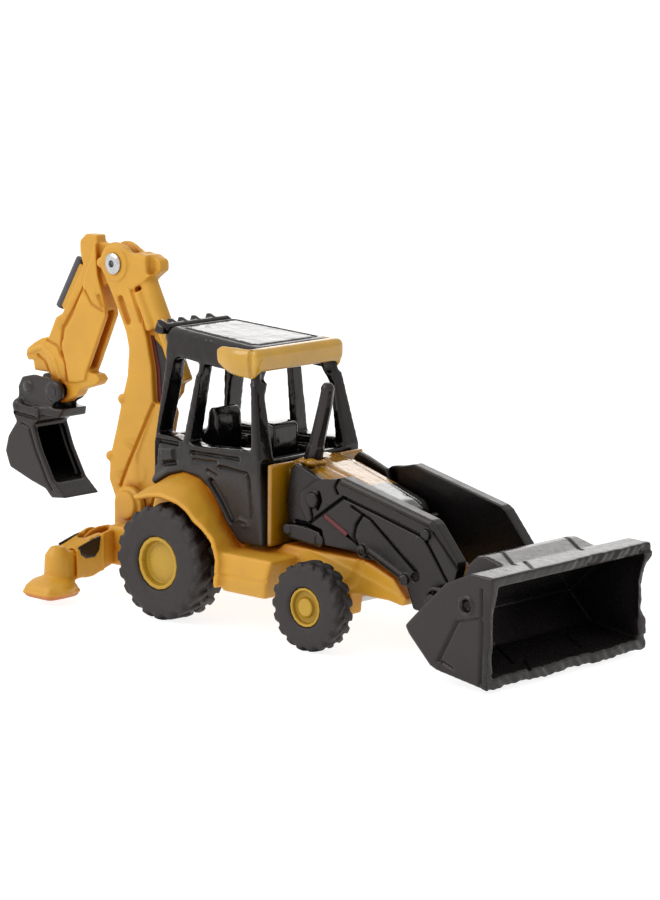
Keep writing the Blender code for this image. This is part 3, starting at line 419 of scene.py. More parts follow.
def enamel(name, colour, roughness, coat=0.0, bumps=((1.6, 0.03), (0.35, 0.003)), sheen=NEUTRAL,
           black_from=None, sheen_painted_below=None):
    """Gloss enamel on a casting, with a slight ripple, tiny specks and painted shade in its nooks.

    It can turn black in front of a line across the machine. Below a height it is rougher and painted a
    lighter grey, a painted reflection of the bright room."""
    mat, tree, shader, place = new_material(name)
    tint = remap(tree, noise(tree, place, 3.0), 0.3, 0.7, 0.0, 1.0)
    patchy = mixed(tree, tint, tuple(c * 0.85 for c in colour), colour)
    # Painted shade: ambient occlusion blends the paint towards a third of its colour in nooks.
    unshaded_share = remap(tree, openness(tree, PAINTED_SHADE_REACH), 0.3, 0.85, 0.0, 1.0)
    painted_shade = tuple(c * 0.3 for c in colour)
    paint = mixed(tree, unshaded_share, painted_shade, patchy)
    if black_from:
        edge = black_from + MACHINE_X
        paint = mixed(tree, past(tree, place, "X", edge, edge + 0.25), paint, BLACK_PAINT)
    rough = remap(tree, noise(tree, place, 1.2), 0.35, 0.75, roughness, roughness + 0.08)
    # Below the line the paint is rougher and painted a lighter grey, a painted reflection.
    if sheen_painted_below:
        above_sheen_line = past(tree, place, "Z", sheen_painted_below, sheen_painted_below + SHEEN_FADE_HEIGHT)
        paint = mixed(tree, above_sheen_line, PAINTED_SHEEN_GREY, paint)
        rough = arithmetic(tree, "ADD", rough, remap(tree, above_sheen_line, 0.0, 1.0, 0.3, 0.0))
    tree.links.new(paint, shader.inputs["Base Color"])
    dull_crevices(tree, shader, sheen)
    tree.links.new(rough, shader.inputs["Roughness"])
    shader.inputs["Coat Weight"].default_value = coat
    shader.inputs["Coat Roughness"].default_value = roughness / 2
    add_bump(tree, shader, place, *bumps)
    return mat


def bright_metal(name, colour, roughness):
    """Plated metal with faint scratches."""
    mat, tree, shader, place = new_material(name)
    shader.inputs["Metallic"].default_value = 1.0
    tint = remap(tree, noise(tree, place, 0.4), 0.3, 0.7, 0.0, 1.0)
    tree.links.new(mixed(tree, tint, tuple(c * 0.8 for c in colour), colour), shader.inputs["Base Color"])
    rough = remap(tree, noise(tree, place, 0.2), 0.3, 0.7, roughness - 0.05, roughness + 0.1)
    tree.links.new(rough, shader.inputs["Roughness"])
    add_bump(tree, shader, place, (0.3, 0.006))
    return mat


# Each moulded plastic's second colour is painted shade for its nooks; the black moulding's painted shade
# reaches 9 mm, deep into the bucket.
YELLOW = moulded_plastic("yellow_moulding", (0.56, 0.285, 0.022), (0.42, 0.10, 0.002), 0.42, 0.3)
GOLD = moulded_plastic("gold_hub", (0.42, 0.245, 0.012), (0.13, 0.06, 0.002), 0.3, 0.1,
                       ((0.35, 0.03), (1.2, 0.03)))
BLACK_MOULDING = moulded_plastic("black_moulding", (0.012, 0.0104, 0.0102), (0.001, 0.001, 0.001), 0.24,
                                 bumps=((0.3, 0.01), (2.0, 0.05)), reach=9.0, sheen=WARM)
TYRE = moulded_plastic("tyre_grey", (0.018, 0.0155, 0.0155), (0.002, 0.0018, 0.0018), 0.55,
                       bumps=((0.25, 0.012), (1.2, 0.02)), sheen=WARM)
RAM_GREY = moulded_plastic("ram_grey", (0.06, 0.055, 0.065), (0.015, 0.015, 0.018), 0.4)
BLACK_GLOSS = enamel("black_enamel", (0.003, 0.0026, 0.0026), 0.1, 0.15,
                     ((6.0, 0.3), (1.6, 0.03), (0.35, 0.003)), WARM)
# Below 17.5 mm the cab paint is rougher and painted a lighter grey, a painted reflection.
CAB_GLOSS = enamel("cab_enamel", (0.003, 0.0026, 0.0026), 0.1, 0.0,
                   ((6.0, 0.3), (1.6, 0.03), (0.35, 0.003)), WARM, sheen_painted_below=17.5)
BLACK_SATIN = enamel("black_satin_enamel", (0.005, 0.0042, 0.0042), 0.26, sheen=WARM)
YELLOW_GLOSS = enamel("yellow_enamel", (0.52, 0.28, 0.02), 0.15, 0.5, ((2.4, 0.06), (0.5, 0.006)))
# A darker copy of the yellow enamel: its base colour is painted shade for the hood and its firewall. In front
# of x 25.9 the nose is black.
YELLOW_SHADED = enamel("shaded_yellow_enamel", (0.36, 0.165, 0.004), 0.1, 0.6,
                     ((4.0, 0.22), (1.4, 0.05), (0.5, 0.004)), black_from=25.9)
STRIPE_RED = enamel("dull_red_print", (0.11, 0.012, 0.014), 0.4)
STEEL = bright_metal("bright_plating", (0.55, 0.55, 0.56), 0.22)


# --- pieces -------------------------------------------------------------------

UP = (0, 0, 1)
FORWARDS = (1, 0, 0)
WHEEL_ARCH = [(-7.0, 16.8), (-3.9, 18.5), (-1.2, 19.25), (1.6, 18.8),
              (3.9, 17.5), (5.7, 15.4), (7.2, 13.3), (9.3, 11.2)]
ROOF_PANEL = [(-5.0, -4.6), (-4.4, -5.2), (8.6, -6.0), (9.3, -5.3),
              (9.3, 5.3), (8.6, 6.0), (-4.4, 5.2), (-5.0, 4.6)]
ROOF_BOTTOM = 34.0


def outwards(sign):
    """The direction that one side of the machine looks."""
    return (0, sign, 0)


def disc(centre, radius):
    """A round outline in the x-z plane about a point or a joint's place."""
    x, z = (centre.x, centre.z) if isinstance(centre, Vector) else centre
    return arc((x, z), radius, 0, 345, 23)


def make_chassis():
    """The yellow moulding under everything, with its mould lines."""
    solids = cad_copy("chassis_base")
    for sign in SIDES.values():
        add_tube(solids, [(x, sign * 7.7, z - 0.45, 0.45) for x, z in WHEEL_ARCH])
    clay = Clay(solids, grain=0.19, rounding=0.48)
    for sign in SIDES.values():
        way = outwards(sign)
        clay.groove([(9.2, 7.4), (18.4, 7.5)], 0.6, 0.14, way)
        clay.groove([(28.8, 10.9), (27.9, 8.4), (26.5, 7.7)], 1.4, 0.3, way)
        clay.groove([(18.0, 12.1), (35.5, 7.6)], 0.7, -0.15, way)
        clay.raised(disc(REAR_AXLE, 6.5), -0.15, way, 0.6)
    clay.piece("chassis_moulding", YELLOW, "chassis", ["chassis_base"], "yellow_plastic", 0.35)


def make_cab():
    """The black cab casting, its edges thick with paint."""
    solids = cad_copy("cab_shell")
    add_block(solids, (-6.9, -6.3, 35.2), (-5.4, 6.1, 36.9))
    for sign in SIDES.values():
        add_bar(solids, (11.7, sign * 7.9, 28.4), (9.9, sign * 6.9, 35.2), 0.55, 0.8)
        add_tube(solids, [(x, sign * 8.1, z, 0.55) for x, z in WHEEL_ARCH])
    clay = Clay(solids, grain=0.16, rounding=0.42)
    for sign in SIDES.values():
        way = outwards(sign)
        clay.groove([(0.4, 21.6), (9.6, 21.9)], 0.6, 0.4, way)
        clay.groove([(0.8, 20.7), (5.4, 20.9)], 0.45, 0.25, way)
        clay.groove([(5.7, 20.4), (11.2, 20.3), (11.6, 19.6), (11.7, 14.6)], 0.45, 0.35, way)
        clay.groove([(4.3, 18.2), (6.3, 16.1), (8.0, 13.8)], 1.15, 0.95, way)
        clay.groove([(3.6, 19.6), (5.2, 19.2)], 0.5, 0.3, way)
        clay.groove([(9.0, 13.7), (9.6, 14.1), (11.0, 13.9), (11.2, 13.4), (10.0, 13.2)], 0.35, -0.2, way)
        clay.raised([(-5.4, 21.3), (-3.2, 21.6), (-2.8, 20.2), (-5.3, 19.7)], 0.45, way, 0.25)
        clay.groove([(-6.8, 19.2), (-6.4, 22.3), (-2.4, 22.3)], 0.7, 0.45, way)
        clay.groove([(-5.2, 19.2), (-2.6, 19.8)], 0.5, 0.3, way)
    height = clay.points[:, 2]
    clay.relax(12, ((height - ROOF_BOTTOM - 0.6) / 0.6).clip(0, 1))
    top = (clay.facing(UP, 0.8) > 0.5) & (clay.inside(ROOF_PANEL, 2) > 0) & (height > ROOF_BOTTOM)
    plane = np.column_stack([clay.points[top, :2], np.ones(top.sum())])
    clay.points[top, 2] = plane @ np.linalg.lstsq(plane, clay.points[top, 2], rcond=None)[0]
    clay.groove([*ROOF_PANEL, ROOF_PANEL[0]], 0.9, 0.22, UP, flat=2)
    clay.piece("cab_casting", CAB_GLOSS, "chassis", ["cab_shell"], "black_paint", 0.6)
    make_visor_and_lamps()
    nodes = ["seat", "steering_console", "cab_floor"]
    inside = Clay(cad_copy(*nodes), grain=0.14, rounding=0.32)
    inside.piece("cab_interior", BLACK_GLOSS, "chassis", nodes, "black_plastic")


def make_visor_and_lamps():
    """The rolled yellow visor and the row of lamps behind the roof."""
    solids = cad_copy("cab_visor")
    add_bar(solids, (10.9, -7.3, 35.2), (10.9, 7.3, 35.2), 1.1)
    for sign in SIDES.values():
        add_ball(solids, (10.9, sign * 7.3, 35.2), 1.1)
        add_ball(solids, (7.9, sign * 8.0, 34.4), 1.0, (3.3, 0.75, 1.8))
    visor = Clay(solids, grain=0.13, rounding=0.55)
    for sign in SIDES.values():
        visor.groove([(10.5, 37.0), (10.7, 31.5)], 0.7, 0.3, outwards(sign))
    visor.piece("roof_visor", YELLOW_GLOSS, "chassis", ["cab_visor"], "yellow_paint")
    solids = cad_copy("rear_light_bar")
    add_bar(solids, (-6.9, -6.1, 36.95), (-6.9, 5.8, 36.95), 0.7)
    lamps = Clay(solids, grain=0.1, rounding=0.36)
    lamps.piece("lamp_row", BLACK_GLOSS, "chassis", ["rear_light_bar"], "black_paint")


def make_hood():
    """The glossy yellow hood and the parts around it."""
    solids = cad_copy("hood")
    for i in range(6):
        turn = i * math.pi / 3
        lump = (16.9 + 1.5 * math.cos(turn), -3.0 + 1.5 * math.sin(turn), 21.9)
        add_ball(solids, lump, 0.55 + 0.12 * (i % 3), (1.2, 1.2, 0.8))
    clay = Clay(solids, grain=0.15, rounding=0.36)
    for y in (-2.6, 2.6):
        clay.groove([(15.6, y), (31.0, y * 0.6)], 0.5, 0.1, UP, flat=2)
    # The hood takes the darker yellow enamel, whose base colour is painted shade.
    clay.piece("hood_casting", YELLOW_SHADED, "chassis", ["hood"], "yellow_paint")
    solids = cad_copy("front_grille")
    for i in range(4):
        z = 13.0 + i
        add_block(solids, (33.2, -2.4, z), (33.6, 2.4, z + 0.5))
    grille = Clay(solids, grain=0.12, rounding=0.18)
    grille.piece("nose_grille", BLACK_GLOSS, "chassis", ["front_grille"], "black_paint")
    solids = cad_copy("exhaust_stack")
    add_bar(solids, (16.75, -3, 22.0), (17.3, -3, 24.0), 1.25, 1.12)
    add_ball(solids, (19.2, -3, 31.5), 0.92, (1, 1, 0.9))
    stack = Clay(solids, grain=0.1, rounding=0.22)
    stack.piece("exhaust", BLACK_MOULDING, "chassis", ["exhaust_stack"], "black_plastic")


def make_arm(label, sign):
    """One loader arm, with the plates, ribs and bosses of its outer face."""
    way = outwards(sign)
    solids = cad_copy("loader_arm_" + label)
    x, _, z = LOADER_PIVOT
    add_bar(solids, (x, sign * 7.2, z), (x, sign * 8.1, z), 1.0)
    for x, z in ((40.1, 16.2), (29.6, 12.7), (36.7, 10.0)):
        add_bar(solids, (x, sign * 7.2, z), (x, sign * 8.12, z), 0.74)
    arm = Clay(solids, grain=0.11, rounding=0.2)
    for path in (
        [(26.2, 18.95), (31.7, 17.7), (39.0, 15.9), (40.2, 15.4)], [(41.2, 16.6), (45.2, 12.6)],
        [(40.0, 15.3), (43.4, 10.8)], [(26.2, 18.95), (20.4, 14.9)],
        [(27.6, 18.0), (29.6, 17.2), (30.8, 16.8), (35.2, 13.5), (38.6, 11.0)],
        [(29.4, 17.1), (28.3, 15.6), (28.0, 14.2), (28.6, 13.3)],
        [(25.3, 21.1), (24.7, 20.1), (25.2, 19.3)], [(22.0, 19.0), (22.3, 18.0), (21.8, 16.9)],
        [(20.6, 17.0), (20.9, 15.6)], [(23.0, 16.1), (28.4, 13.4)],
    ):
        arm.groove(path, 0.42, 0.42, way)
    arm.groove([(26.0, 20.9), (40.6, 17.5), (44.8, 12.9)], 0.7, -0.2, way)
    arm.groove([(29.9, 12.9), (36.4, 10.1)], 0.9, -0.15, way)
    arm.raised(disc((38.1, 10.5), 0.5), -0.45, way, 0.3)
    arm.piece("arm_" + label, BLACK_SATIN, "loader_body", ["loader_arm_" + label], "black_paint")


def make_tower(label, sign):
    """One tower beside the hood, with the lift cylinder moulded on it."""
    way = outwards(sign)
    solids = cad_copy("loader_tower_" + label, "lift_cylinder_" + label)
    for x, z in ((16.6, 13.6), (22.3, 12.9)):
        add_bar(solids, (x, sign * 6.6, z), (x, sign * 7.8, z), 0.7)
    tower = Clay(solids, grain=0.12, rounding=0.22)
    tower.groove([(17.2, 14.5), (21.9, 14.3)], 0.45, 0.4, way)
    tower.piece("tower_" + label, BLACK_SATIN, "chassis",
                ["loader_tower_" + label, "lift_cylinder_" + label], "black_paint")


def ragged(values, coarse, fine):
    """A fixed pattern of uneven steps along a line, from -1 to 1."""
    slow = np.sin(values / coarse + 0.7)
    return (slow + 0.6 * np.sin(values / fine) + 0.4 * np.sin(values / fine * 2.3)) / 2


def make_loader():
    """The towers, the arms, the rams and the wide bucket."""
    for label, sign in SIDES.items():
        make_tower(label, sign)
        make_arm(label, sign)
    tube = Clay(cad_copy("arm_cross_tube"), grain=0.12, rounding=0.2)
    tube.piece("arm_tie", BLACK_SATIN, "loader_body", ["arm_cross_tube"], "black_paint")
    bucket = Clay(cad_copy("loader_bucket"), grain=0.17, rounding=0.3)
    for sign in SIDES.values():
        way = outwards(sign)
        band = sorted((sign * 14.9, sign * 17.0))
        cheek = [(49.2, 3.2), (51.9, 8.4), (56.6, 9.0), (56.6, 1.2), (49.2, 2.0)]
        bucket.raised(cheek, -0.12, way, 0.25, band)
        bucket.groove([(48.9, 3.0), (51.8, 8.4), (55.2, 9.2)], 0.45, 0.3, way, band)
        bucket.groove([(55.6, 12.8), (55.5, 1.2)], 0.5, 0.3, way, band)
        bucket.groove(disc((53.3, 10.5), 1.0), 0.4, -0.25, way, band)
        bucket.raised(disc((53.3, 10.5), 0.7), -0.5, way, 0.2, band)
        bucket.groove([(49.4, 3.0), (51.2, 2.4)], 0.4, 0.25, way, band)
    for path in ([(48.8, -4.6), (54.2, -7.7)], [(53.8, -5.3), (56.9, -7.6)], [(50.0, 7.4), (54.4, 5.2)]):
        bucket.groove(path, 0.45, 0.3, UP, flat=2)
    x, y, z = bucket.points.T
    low_lip = ((x - 55.6) / 1.2).clip(0, 1) * (z < 2.6)
    top_lip = ((x - 56.2) / 0.8).clip(0, 1) * (z > 13.2) * ((y + 4) / 8).clip(0.2, 1)
    front = ((x - 55.6) / 1.0).clip(0, 1)
    far_end = ((y - 14.1) / 0.8).clip(0, 1) * front
    near_end = ((-y - 14.1) / 0.8).clip(0, 1) * front
    bucket.push(-0.18 * (1 + ragged(y + 0.8 * z, 2.1, 0.62)) * low_lip, FORWARDS)
    bucket.push(0.22 * ragged(y, 1.7, 0.5) * low_lip, UP)
    bucket.push(-0.22 * (1 + ragged(y - z, 1.9, 0.55)) * top_lip, FORWARDS)
    bucket.push(0.15 * ragged(z + y, 1.5, 0.5) * (near_end + far_end), FORWARDS)
    waist = ((z - 4.6) / 1.2).clip(0, 1) * ((12.6 - z) / 1.5).clip(0, 1)
    bucket.push((0.35 - 1.0 * waist + 0.15 * ragged(z, 1.3, 0.5)) * far_end, outwards(LEFT))
    bucket.push(0.3 * waist * near_end, outwards(LEFT))
    bucket.points[:, 0] = bucket.points[:, 0].clip(None, limits("loader_bucket")[1].x)
    bucket.piece("bucket_moulding", BLACK_MOULDING, "bucket_body", ["loader_bucket"], "black_plastic")


def print_slab(name, mat, body, outline, face, height):
    """A thin print on both sides of the machine, standing a little off a face."""
    bm = bmesh.new()
    for sign in SIDES.values():
        low, high = sorted((sign * (face - 0.1), sign * (face + height)))
        add_slab(bm, outline, low, high)
    mesh = bpy.data.meshes.new(name)
    bmesh.ops.translate(bm, vec=(MACHINE_X, 0, 0), verts=bm.verts)
    bmesh.ops.scale(bm, vec=(MM, MM, MM), verts=bm.verts)
    bm.to_mesh(mesh)
    bm.free()
    obj = bpy.data.objects.new(name, mesh)
    bpy.context.collection.objects.link(obj)
    mesh.materials.append(mat)
    hand_over(obj, body)


def make_prints():
    """The dark patch and the dull red stripes printed on the boom and the arms."""
    patch = [(-17.2, 36.2), (-13.1, 33.2), (-10.7, 28.2), (-11.5, 25.6), (-14.0, 25.2), (-14.3, 30.2),
             (-15.4, 34.3)]
    print_slab("boom_patch", BLACK_SATIN, "boom_body", patch, 0.45, 0.08)
    stripe = [(-15.4, 34.6), (-14.6, 34.6), (-13.4, 30.3), (-13.0, 25.4), (-13.9, 25.3), (-14.3, 30.2)]
    print_slab("boom_stripe", STRIPE_RED, "boom_body", stripe, 0.53, 0.06)
    stripe = [(23.2, 16.5), (27.1, 14.55), (26.7, 14.1), (22.9, 16.0)]
    print_slab("arm_stripe", STRIPE_RED, "loader_body", stripe, 7.6, 0.06)


def make_boom():
    """The boom, with its forked head, ears and the two rams moulded on it."""
    solids = cad_copy("boom")
    for sign in SIDES.values():
        add_ball(solids, (-24.0, sign, 43.7), 0.8)
        add_ball(solids, (-19.9, sign * 1.1, 25.5), 0.75)
        add_ball(solids, (-22.2, sign * 1.1, 17.4), 0.75)
        add_bar(solids, (-17.3, sign * 0.8, 45.0), (-14.2, sign * 0.8, 44.3), 0.8)
        add_ball(solids, (-14.2, sign * 0.8, 44.3), 0.8)
        add_bar(solids, (-16.7, sign * 0.7, 15.6), (-16.7, sign * 1.35, 15.6), 1.3)
        add_bar(solids, (-17.0, sign * 0.85, 40.4), (-14.5, sign * 0.85, 35.4), 0.75)
    holes = bmesh.new()
    add_block(holes, (-15.2, -3.0, 42.9), (-12.0, -0.3, 47.0))
    clay = Clay(solids, holes, grain=0.13, rounding=0.32)
    for sign in SIDES.values():
        way = outwards(sign)
        clay.raised(disc(STICK_PIVOT, 2.45), 0.22, way, 0.25)
        clay.groove([(-20.0, 39.1), (-18.6, 36.3)], 1.15, 0.7, way)
        clay.groove([(-13.9, 25.3), (-18.6, 16.6), (-20.0, 13.6)], 0.6, 0.45, way)
        clay.groove([(-17.9, 40.4), (-16.1, 36.5)], 0.7, 0.35, way)
    clay.piece("boom_moulding", YELLOW, "boom_body", ["boom"], "yellow_plastic")


def make_stick():
    """The stick with its raised panel and the ram beside it."""
    solids = cad_copy("stick")
    web = [(-29.35, 43.3), (-33.0, 37.1), (-31.4, 35.9), (-27.6, 42.6)]
    add_hull(solids, [(x, y, z) for x, z in web for y in (-0.5, 0.5)])
    clay = Clay(solids, grain=0.12, rounding=0.26)
    for sign in SIDES.values():
        way = outwards(sign)
        clay.groove([(-27.0, 39.5), (-25.7, 37.8), (-23.7, 37.1)], 0.5, 0.3, way)
        clay.groove([(-24.4, 39.0), (-23.7, 37.9)], 0.9, 0.4, way)
        back_edge = [(-27.7, 39.8), (-29.7, 36.7), (-31.8, 33.9), (-32.2, 30.6), (-31.2, 29.0), (-31.1, 26.6)]
        clay.groove(back_edge, 0.7, 0.4, way)
        clay.groove([(-35.0, 31.9), (-32.9, 31.3), (-32.1, 29.9)], 0.5, 0.3, way)
        clay.groove([(-36.8, 29.6), (-35.4, 28.9), (-34.6, 27.4), (-33.6, 26.0)], 0.6, 0.4, way)
        clay.groove([(-38.6, 29.9), (-36.0, 31.0), (-33.6, 29.4), (-32.4, 26.9)], 0.8, -0.25, way)
    clay.piece("stick_moulding", YELLOW, "stick_body", ["stick"], "yellow_plastic")
    ram = Clay(cad_copy("stick_ram"), grain=0.1, rounding=0.2)
    ram.piece("stick_cylinder", RAM_GREY, "stick_body", ["stick_ram"], "ram_grey")


def make_hoe():
    """The digging bucket with its two rounded lugs."""
    solids = cad_copy("hoe_bucket")
    pin_x, _, pin_z = HOE_PIVOT
    for sign in SIDES.values():
        add_bar(solids, (pin_x, sign * 2.2, pin_z), (pin_x, sign * 2.65, pin_z), 1.3)
        add_ball(solids, (-38.9, sign * 2.5, 22.6), 1.05)
        add_ball(solids, (-37.2, sign * 2.3, 25.4), 1.0, (1.1, 0.42, 0.9))
    lip = [(-36.0, 2.9, 21.7), (-36.0, 2.9, 23.0), (-31.0, 2.7, 21.6), (-30.4, 2.3, 22.9)]
    add_hull(solids, [(x, sign * y, z) for sign in SIDES.values() for x, y, z in lip])
    clay = Clay(solids, grain=0.13, rounding=0.28)
    for sign in SIDES.values():
        way = outwards(sign)
        clay.groove([(-39.4, 21.6), (-34.8, 21.2)], 0.6, 0.35, way)
        mouth = [(-37.6, 20.2), (-36.2, 19.8), (-35.0, 17.0), (-32.6, 12.8), (-31.6, 11.6)]
        clay.groove(mouth, 0.4, 0.25, way)
    clay.piece("hoe_moulding", BLACK_MOULDING, "hoe_body", ["hoe_bucket"], "black_plastic")


def make_backhoe():
    """The swing bracket, the boom, the stick and the hooked bucket."""
    solids = cad_copy("swing_bracket")
    end = limits("boom_pin")[1].y
    for sign in SIDES.values():
        add_bar(solids, (BOOM_PIVOT.x, sign * (end - 0.6), BOOM_PIVOT.z),
                (BOOM_PIVOT.x, sign * (end + 0.25), BOOM_PIVOT.z), 2.1, 1.9)
    bracket = Clay(solids, grain=0.13, rounding=0.28)
    bracket.piece("swing_frame", YELLOW, "swing_body", ["swing_bracket"], "yellow_plastic")
    make_boom()
    make_stick()
    make_hoe()


def make_leg(label, sign):
    """One stabiliser leg, with the dark end of its ram set into the beam."""
    hinge = pivot(f"stabiliser_{label}_fold")
    x = hinge.x
    solids = cad_copy("stabiliser_leg_" + label)
    cheek = [(abs(hinge.y) + out, hinge.z + rise) for out, rise in arc((0, 0), 2.4, 0, 360, 24)]
    cheek += [(10.4, 8.0), (13.8, 6.7), (13.6, 2.9), (10.6, 2.9)]
    for front in (1, -1):
        add_hull(solids, [(x + front * reach, sign * out, z) for out, z in cheek for reach in (1.56, 2.05)])
    beam = [(10.2, 3.0), (10.2, 7.9), (13.8, 6.8), (13.8, 2.9)]
    add_hull(solids, [(x + reach, sign * out, z) for out, z in beam for reach in (-2.05, 2.05)])
    add_ball(solids, (x, sign * 16.4, 2.15), 1.45, (2.6, 2.1, 1.0))
    leg = Clay(solids, grain=0.13, rounding=0.36)
    y = leg.points[:, 1] * sign
    z = leg.points[:, 2]
    leg.push(-1.1 * ((z - 2.9) / 0.8).clip(0, 1) * ((y - 13.6) / 0.8).clip(0, 1), outwards(sign))
    leg.relax(100, ((3.4 - z) / 0.6).clip(0, 1) * (y > 12))
    seam = (1 - ((y - 8.9) / 0.35) ** 2).clip(0, 1)
    leg.push(0.22 * seam * leg.facing(FORWARDS), FORWARDS)
    seam_z = (1 - ((leg.points[:, 2] - 1.6) / 0.3) ** 2).clip(0, 1) * (y > 12.5)
    leg.points += leg.normals * (0.15 * seam_z)[:, None]
    body = "stabiliser_body_" + label
    leg.piece("leg_" + label, YELLOW, body, ["stabiliser_leg_" + label], "yellow_plastic")
    bm = bmesh.new()
    face = [(9.2, 8.3), (10.3, 8.1), (13.2, 7.3), (13.0, 6.2), (12.0, 5.6), (10.4, 5.5), (9.5, 6.4)]
    for front in (1, -1):
        add_hull(bm, [(x + front * reach, sign * out, z) for out, z in face for reach in (1.62, 2.14)])
    ram = Clay(bm, grain=0.1, rounding=0.2)
    ram.piece("leg_ram_" + label, BLACK_MOULDING, body, slot="black_plastic")


def make_stabilisers():
    """The two legs beside the backhoe."""
    for label, sign in SIDES.items():
        make_leg(label, sign)


def make_wheel(name, axle, side, rim, lugs, width):
    """One tyre with chunky lugs, keeping a share of the CAD tyre's width."""
    low, high = limits(f"{name}_tyre_{side}")
    radius = (high.z - low.z) / 2
    sign = SIDES[side]
    half = (high.y - low.y) / 2 * width
    middle = sign * (max(abs(low.y), abs(high.y)) - half)
    bm = bmesh.new()
    profile = [(rim, half - 0.3), (rim + 0.4, half), (radius * 0.86, half - 0.05),
               (radius * 0.965, half - 0.75), (radius * 0.94, half - 1.6), (radius * 0.94, -half + 0.75),
               (radius * 0.86, -half + 0.05), (rim + 0.4, -half), (rim, -half + 0.3)]
    steps = 72
    rings = []
    for i in range(steps):
        angle = 2 * math.pi * i / steps
        along = math.cos(angle)
        up = math.sin(angle)
        rings.append([bm.verts.new((axle.x + r * along, middle + sign * d, axle.z + r * up))
                      for r, d in profile])
    for ring, after in zip(rings, rings[1:] + rings[:1]):
        for k in range(len(profile)):
            m = (k + 1) % len(profile)
            bm.faces.new((ring[k], ring[m], after[m], after[k]))
    bmesh.ops.recalc_face_normals(bm, faces=bm.faces)
    for i in range(lugs):
        for end in (1, -1):
            angle = 2 * math.pi * (i + (0.5 if end < 0 else 0)) / lugs
            add_lug(bm, axle, angle, radius, middle, sign * end * half, 2 * math.pi / lugs)
    return Clay(bm, grain=0.13, rounding=0.28)


def add_lug(bm, axle, angle, radius, middle, reach, pitch):
    """A raised block from the tyre's shoulder towards its middle, leaning back."""
    corners = []
    stations = ((0.97, 0.95, 0.0, 0.27), (0.78, 0.988, 0.08, 0.27), (0.06, 1.0, 0.55, 0.2))
    for share, height, lean, half_turn in stations:
        for r in (radius * 0.9, radius * height):
            for turn in (-half_turn, half_turn):
                a = angle + (turn + lean) * pitch
                corners.append((axle.x + r * math.cos(a), middle + share * reach, axle.z + r * math.sin(a)))
    add_hull(bm, corners)


def make_wheels():
    """All four tyres and hubs."""
    for label in SIDES:
        rear = make_wheel("rear", REAR_AXLE, label, 3.5, 20, 1.0)
        rear.piece("rear_rubber_" + label, TYRE, "rear_axle_body", ["rear_tyre_" + label], "tyre")
        front = make_wheel("front", FRONT_AXLE, label, 2.5, 18, 0.88)
        front.piece("front_rubber_" + label, TYRE, "front_axle_body", ["front_tyre_" + label], "tyre")
        for end in ("rear", "front"):
            hub = Clay(cad_copy(f"{end}_hub_{label}"), grain=0.1, rounding=0.18)
            hub.piece(f"{end}_wheel_{label}", GOLD, end + "_axle_body", [f"{end}_hub_{label}"], "hub_gold")


# --- what stays from the CAD model --------------------------------------------


def dress_cad():
    """Gives the CAD nodes that stay visible their material."""
    looks = {node: STEEL for node in ("front_axle", "rear_axle", "stick_rivet", "swing_pin",
                                      "base_screw_front", "base_screw_rear")}
    looks.update(boom_pin=YELLOW, bucket_pin=BLACK_MOULDING, hoe_bucket_pin=BLACK_MOULDING)
    for label in SIDES:
        looks["loader_pivot_pin_" + label] = BLACK_SATIN
        looks["stabiliser_pin_" + label] = YELLOW
    for node, mat in looks.items():
        mesh = frame["nodes"][node].data
        mesh.materials.clear()
        mesh.materials.append(mat)


# --- stage, light and camera --------------------------------------------------


FLOOR_GLOW = 0.86


def make_stage():
    """A plain pale floor."""
    bm = bmesh.new()
    bmesh.ops.create_grid(bm, x_segments=1, y_segments=1, size=3.0)
    mesh = bpy.data.meshes.new("floor")
    bm.to_mesh(mesh)
    bm.free()
    floor = bpy.data.objects.new("floor", mesh)
    bpy.context.collection.objects.link(floor)
    mat, tree, shader, place = new_material("pale_floor")
    tint = mixed(tree, noise(tree, place, 40.0), (0.30, 0.30, 0.302), (0.32, 0.32, 0.32))
    tree.links.new(tint, shader.inputs["Base Color"])
    shader.inputs["Roughness"].default_value = 0.9
    shader.inputs["Emission Color"].default_value = (1, 1, 1, 1)
    shader.inputs["Emission Strength"].default_value = FLOOR_GLOW
    mesh.materials.append(mat)


def sky_patch(tree, way, direction, sharpness, strength):
    """A soft bright patch of sky about one direction."""
    dot = tree.nodes.new("ShaderNodeVectorMath")
    dot.operation = "DOT_PRODUCT"
    dot.inputs[1].default_value = Vector(direction).normalized()
    tree.links.new(way, dot.inputs[0])
    shown = arithmetic(tree, "MAXIMUM", dot.outputs["Value"], 0.0)
    return arithmetic(tree, "MULTIPLY", arithmetic(tree, "POWER", shown, sharpness), strength)


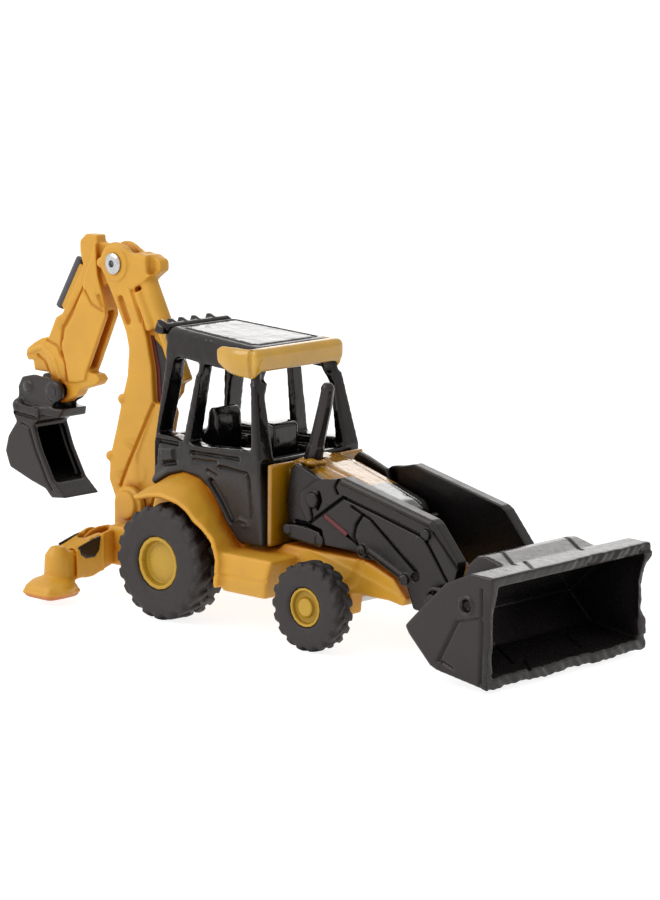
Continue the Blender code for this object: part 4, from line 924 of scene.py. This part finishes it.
def make_surroundings():
    """A white studio room, brighter beside the machine and at two soft panels behind it."""
    world = bpy.data.worlds.new("white_room")
    world.use_nodes = True
    tree = world.node_tree
    way = tree.nodes.new("ShaderNodeTexCoord").outputs["Generated"]
    low_panel = sky_patch(tree, way, (-0.64, 0.73, 0.22), 45.0, 1.75)
    high_panel = sky_patch(tree, way, (-0.45, 0.73, 0.51), 110.0, 2.4)
    behind = arithmetic(tree, "ADD", low_panel, high_panel)
    beside = sky_patch(tree, way, (-0.5, -0.6, 0.6), 1.0, 0.5)
    strength = arithmetic(tree, "ADD", arithmetic(tree, "ADD", behind, beside), 0.75)
    background = tree.nodes["Background"]
    background.inputs["Color"].default_value = (1.0, 0.995, 0.985, 1)
    tree.links.new(strength, background.inputs["Strength"])
    bpy.context.scene.world = world


def add_light(name, place, target, size, power):
    """A soft square lamp aimed at a point, in millimetres."""
    data = bpy.data.lights.new(name, "AREA")
    data.size = size * MM
    data.energy = power
    lamp = bpy.data.objects.new(name, data)
    shift = Vector((MACHINE_X, 0, 0))
    here = Vector(place)
    lamp.location = (here + shift) * MM
    lamp.rotation_euler = (Vector(target) - here).to_track_quat("-Z", "Y").to_euler()
    bpy.context.collection.objects.link(lamp)


CAMERA_ANGLES = (42.116, -10.0, 0.571)
CAMERA_PLACE = (318.819, -333.851, 102.305)
CAMERA_LENS = 141.8


def make_camera():
    """A long lens from the machine's right front, slightly above it."""
    yaw, pitch, roll = (math.radians(angle) for angle in CAMERA_ANGLES)
    ahead = Vector((-math.sin(yaw) * math.cos(pitch), math.cos(yaw) * math.cos(pitch), math.sin(pitch)))
    across = Vector((math.cos(yaw), math.sin(yaw), 0))
    above = across.cross(ahead)
    right = across * math.cos(roll) + above * math.sin(roll)
    top = above * math.cos(roll) - across * math.sin(roll)
    turn = Matrix((right, top, -ahead)).transposed().to_4x4()
    place = (Vector(CAMERA_PLACE) + Vector((MACHINE_X, 0, 0))) * MM
    data = bpy.data.cameras.new("camera")
    data.lens = CAMERA_LENS
    data.sensor_width = 36.0
    data.clip_start = 0.01
    camera = bpy.data.objects.new("camera", data)
    camera.matrix_world = Matrix.Translation(place) @ turn
    bpy.context.collection.objects.link(camera)
    bpy.context.scene.camera = camera
    bpy.context.scene.view_settings.view_transform = "Standard"


make_chassis()
make_cab()
make_hood()
make_loader()
make_backhoe()
make_prints()
make_stabilisers()
make_wheels()
dress_cad()
make_stage()
make_surroundings()
add_light("key", (-150, -260, 260), (10, 0, 20), 220, 0.35)
make_camera()
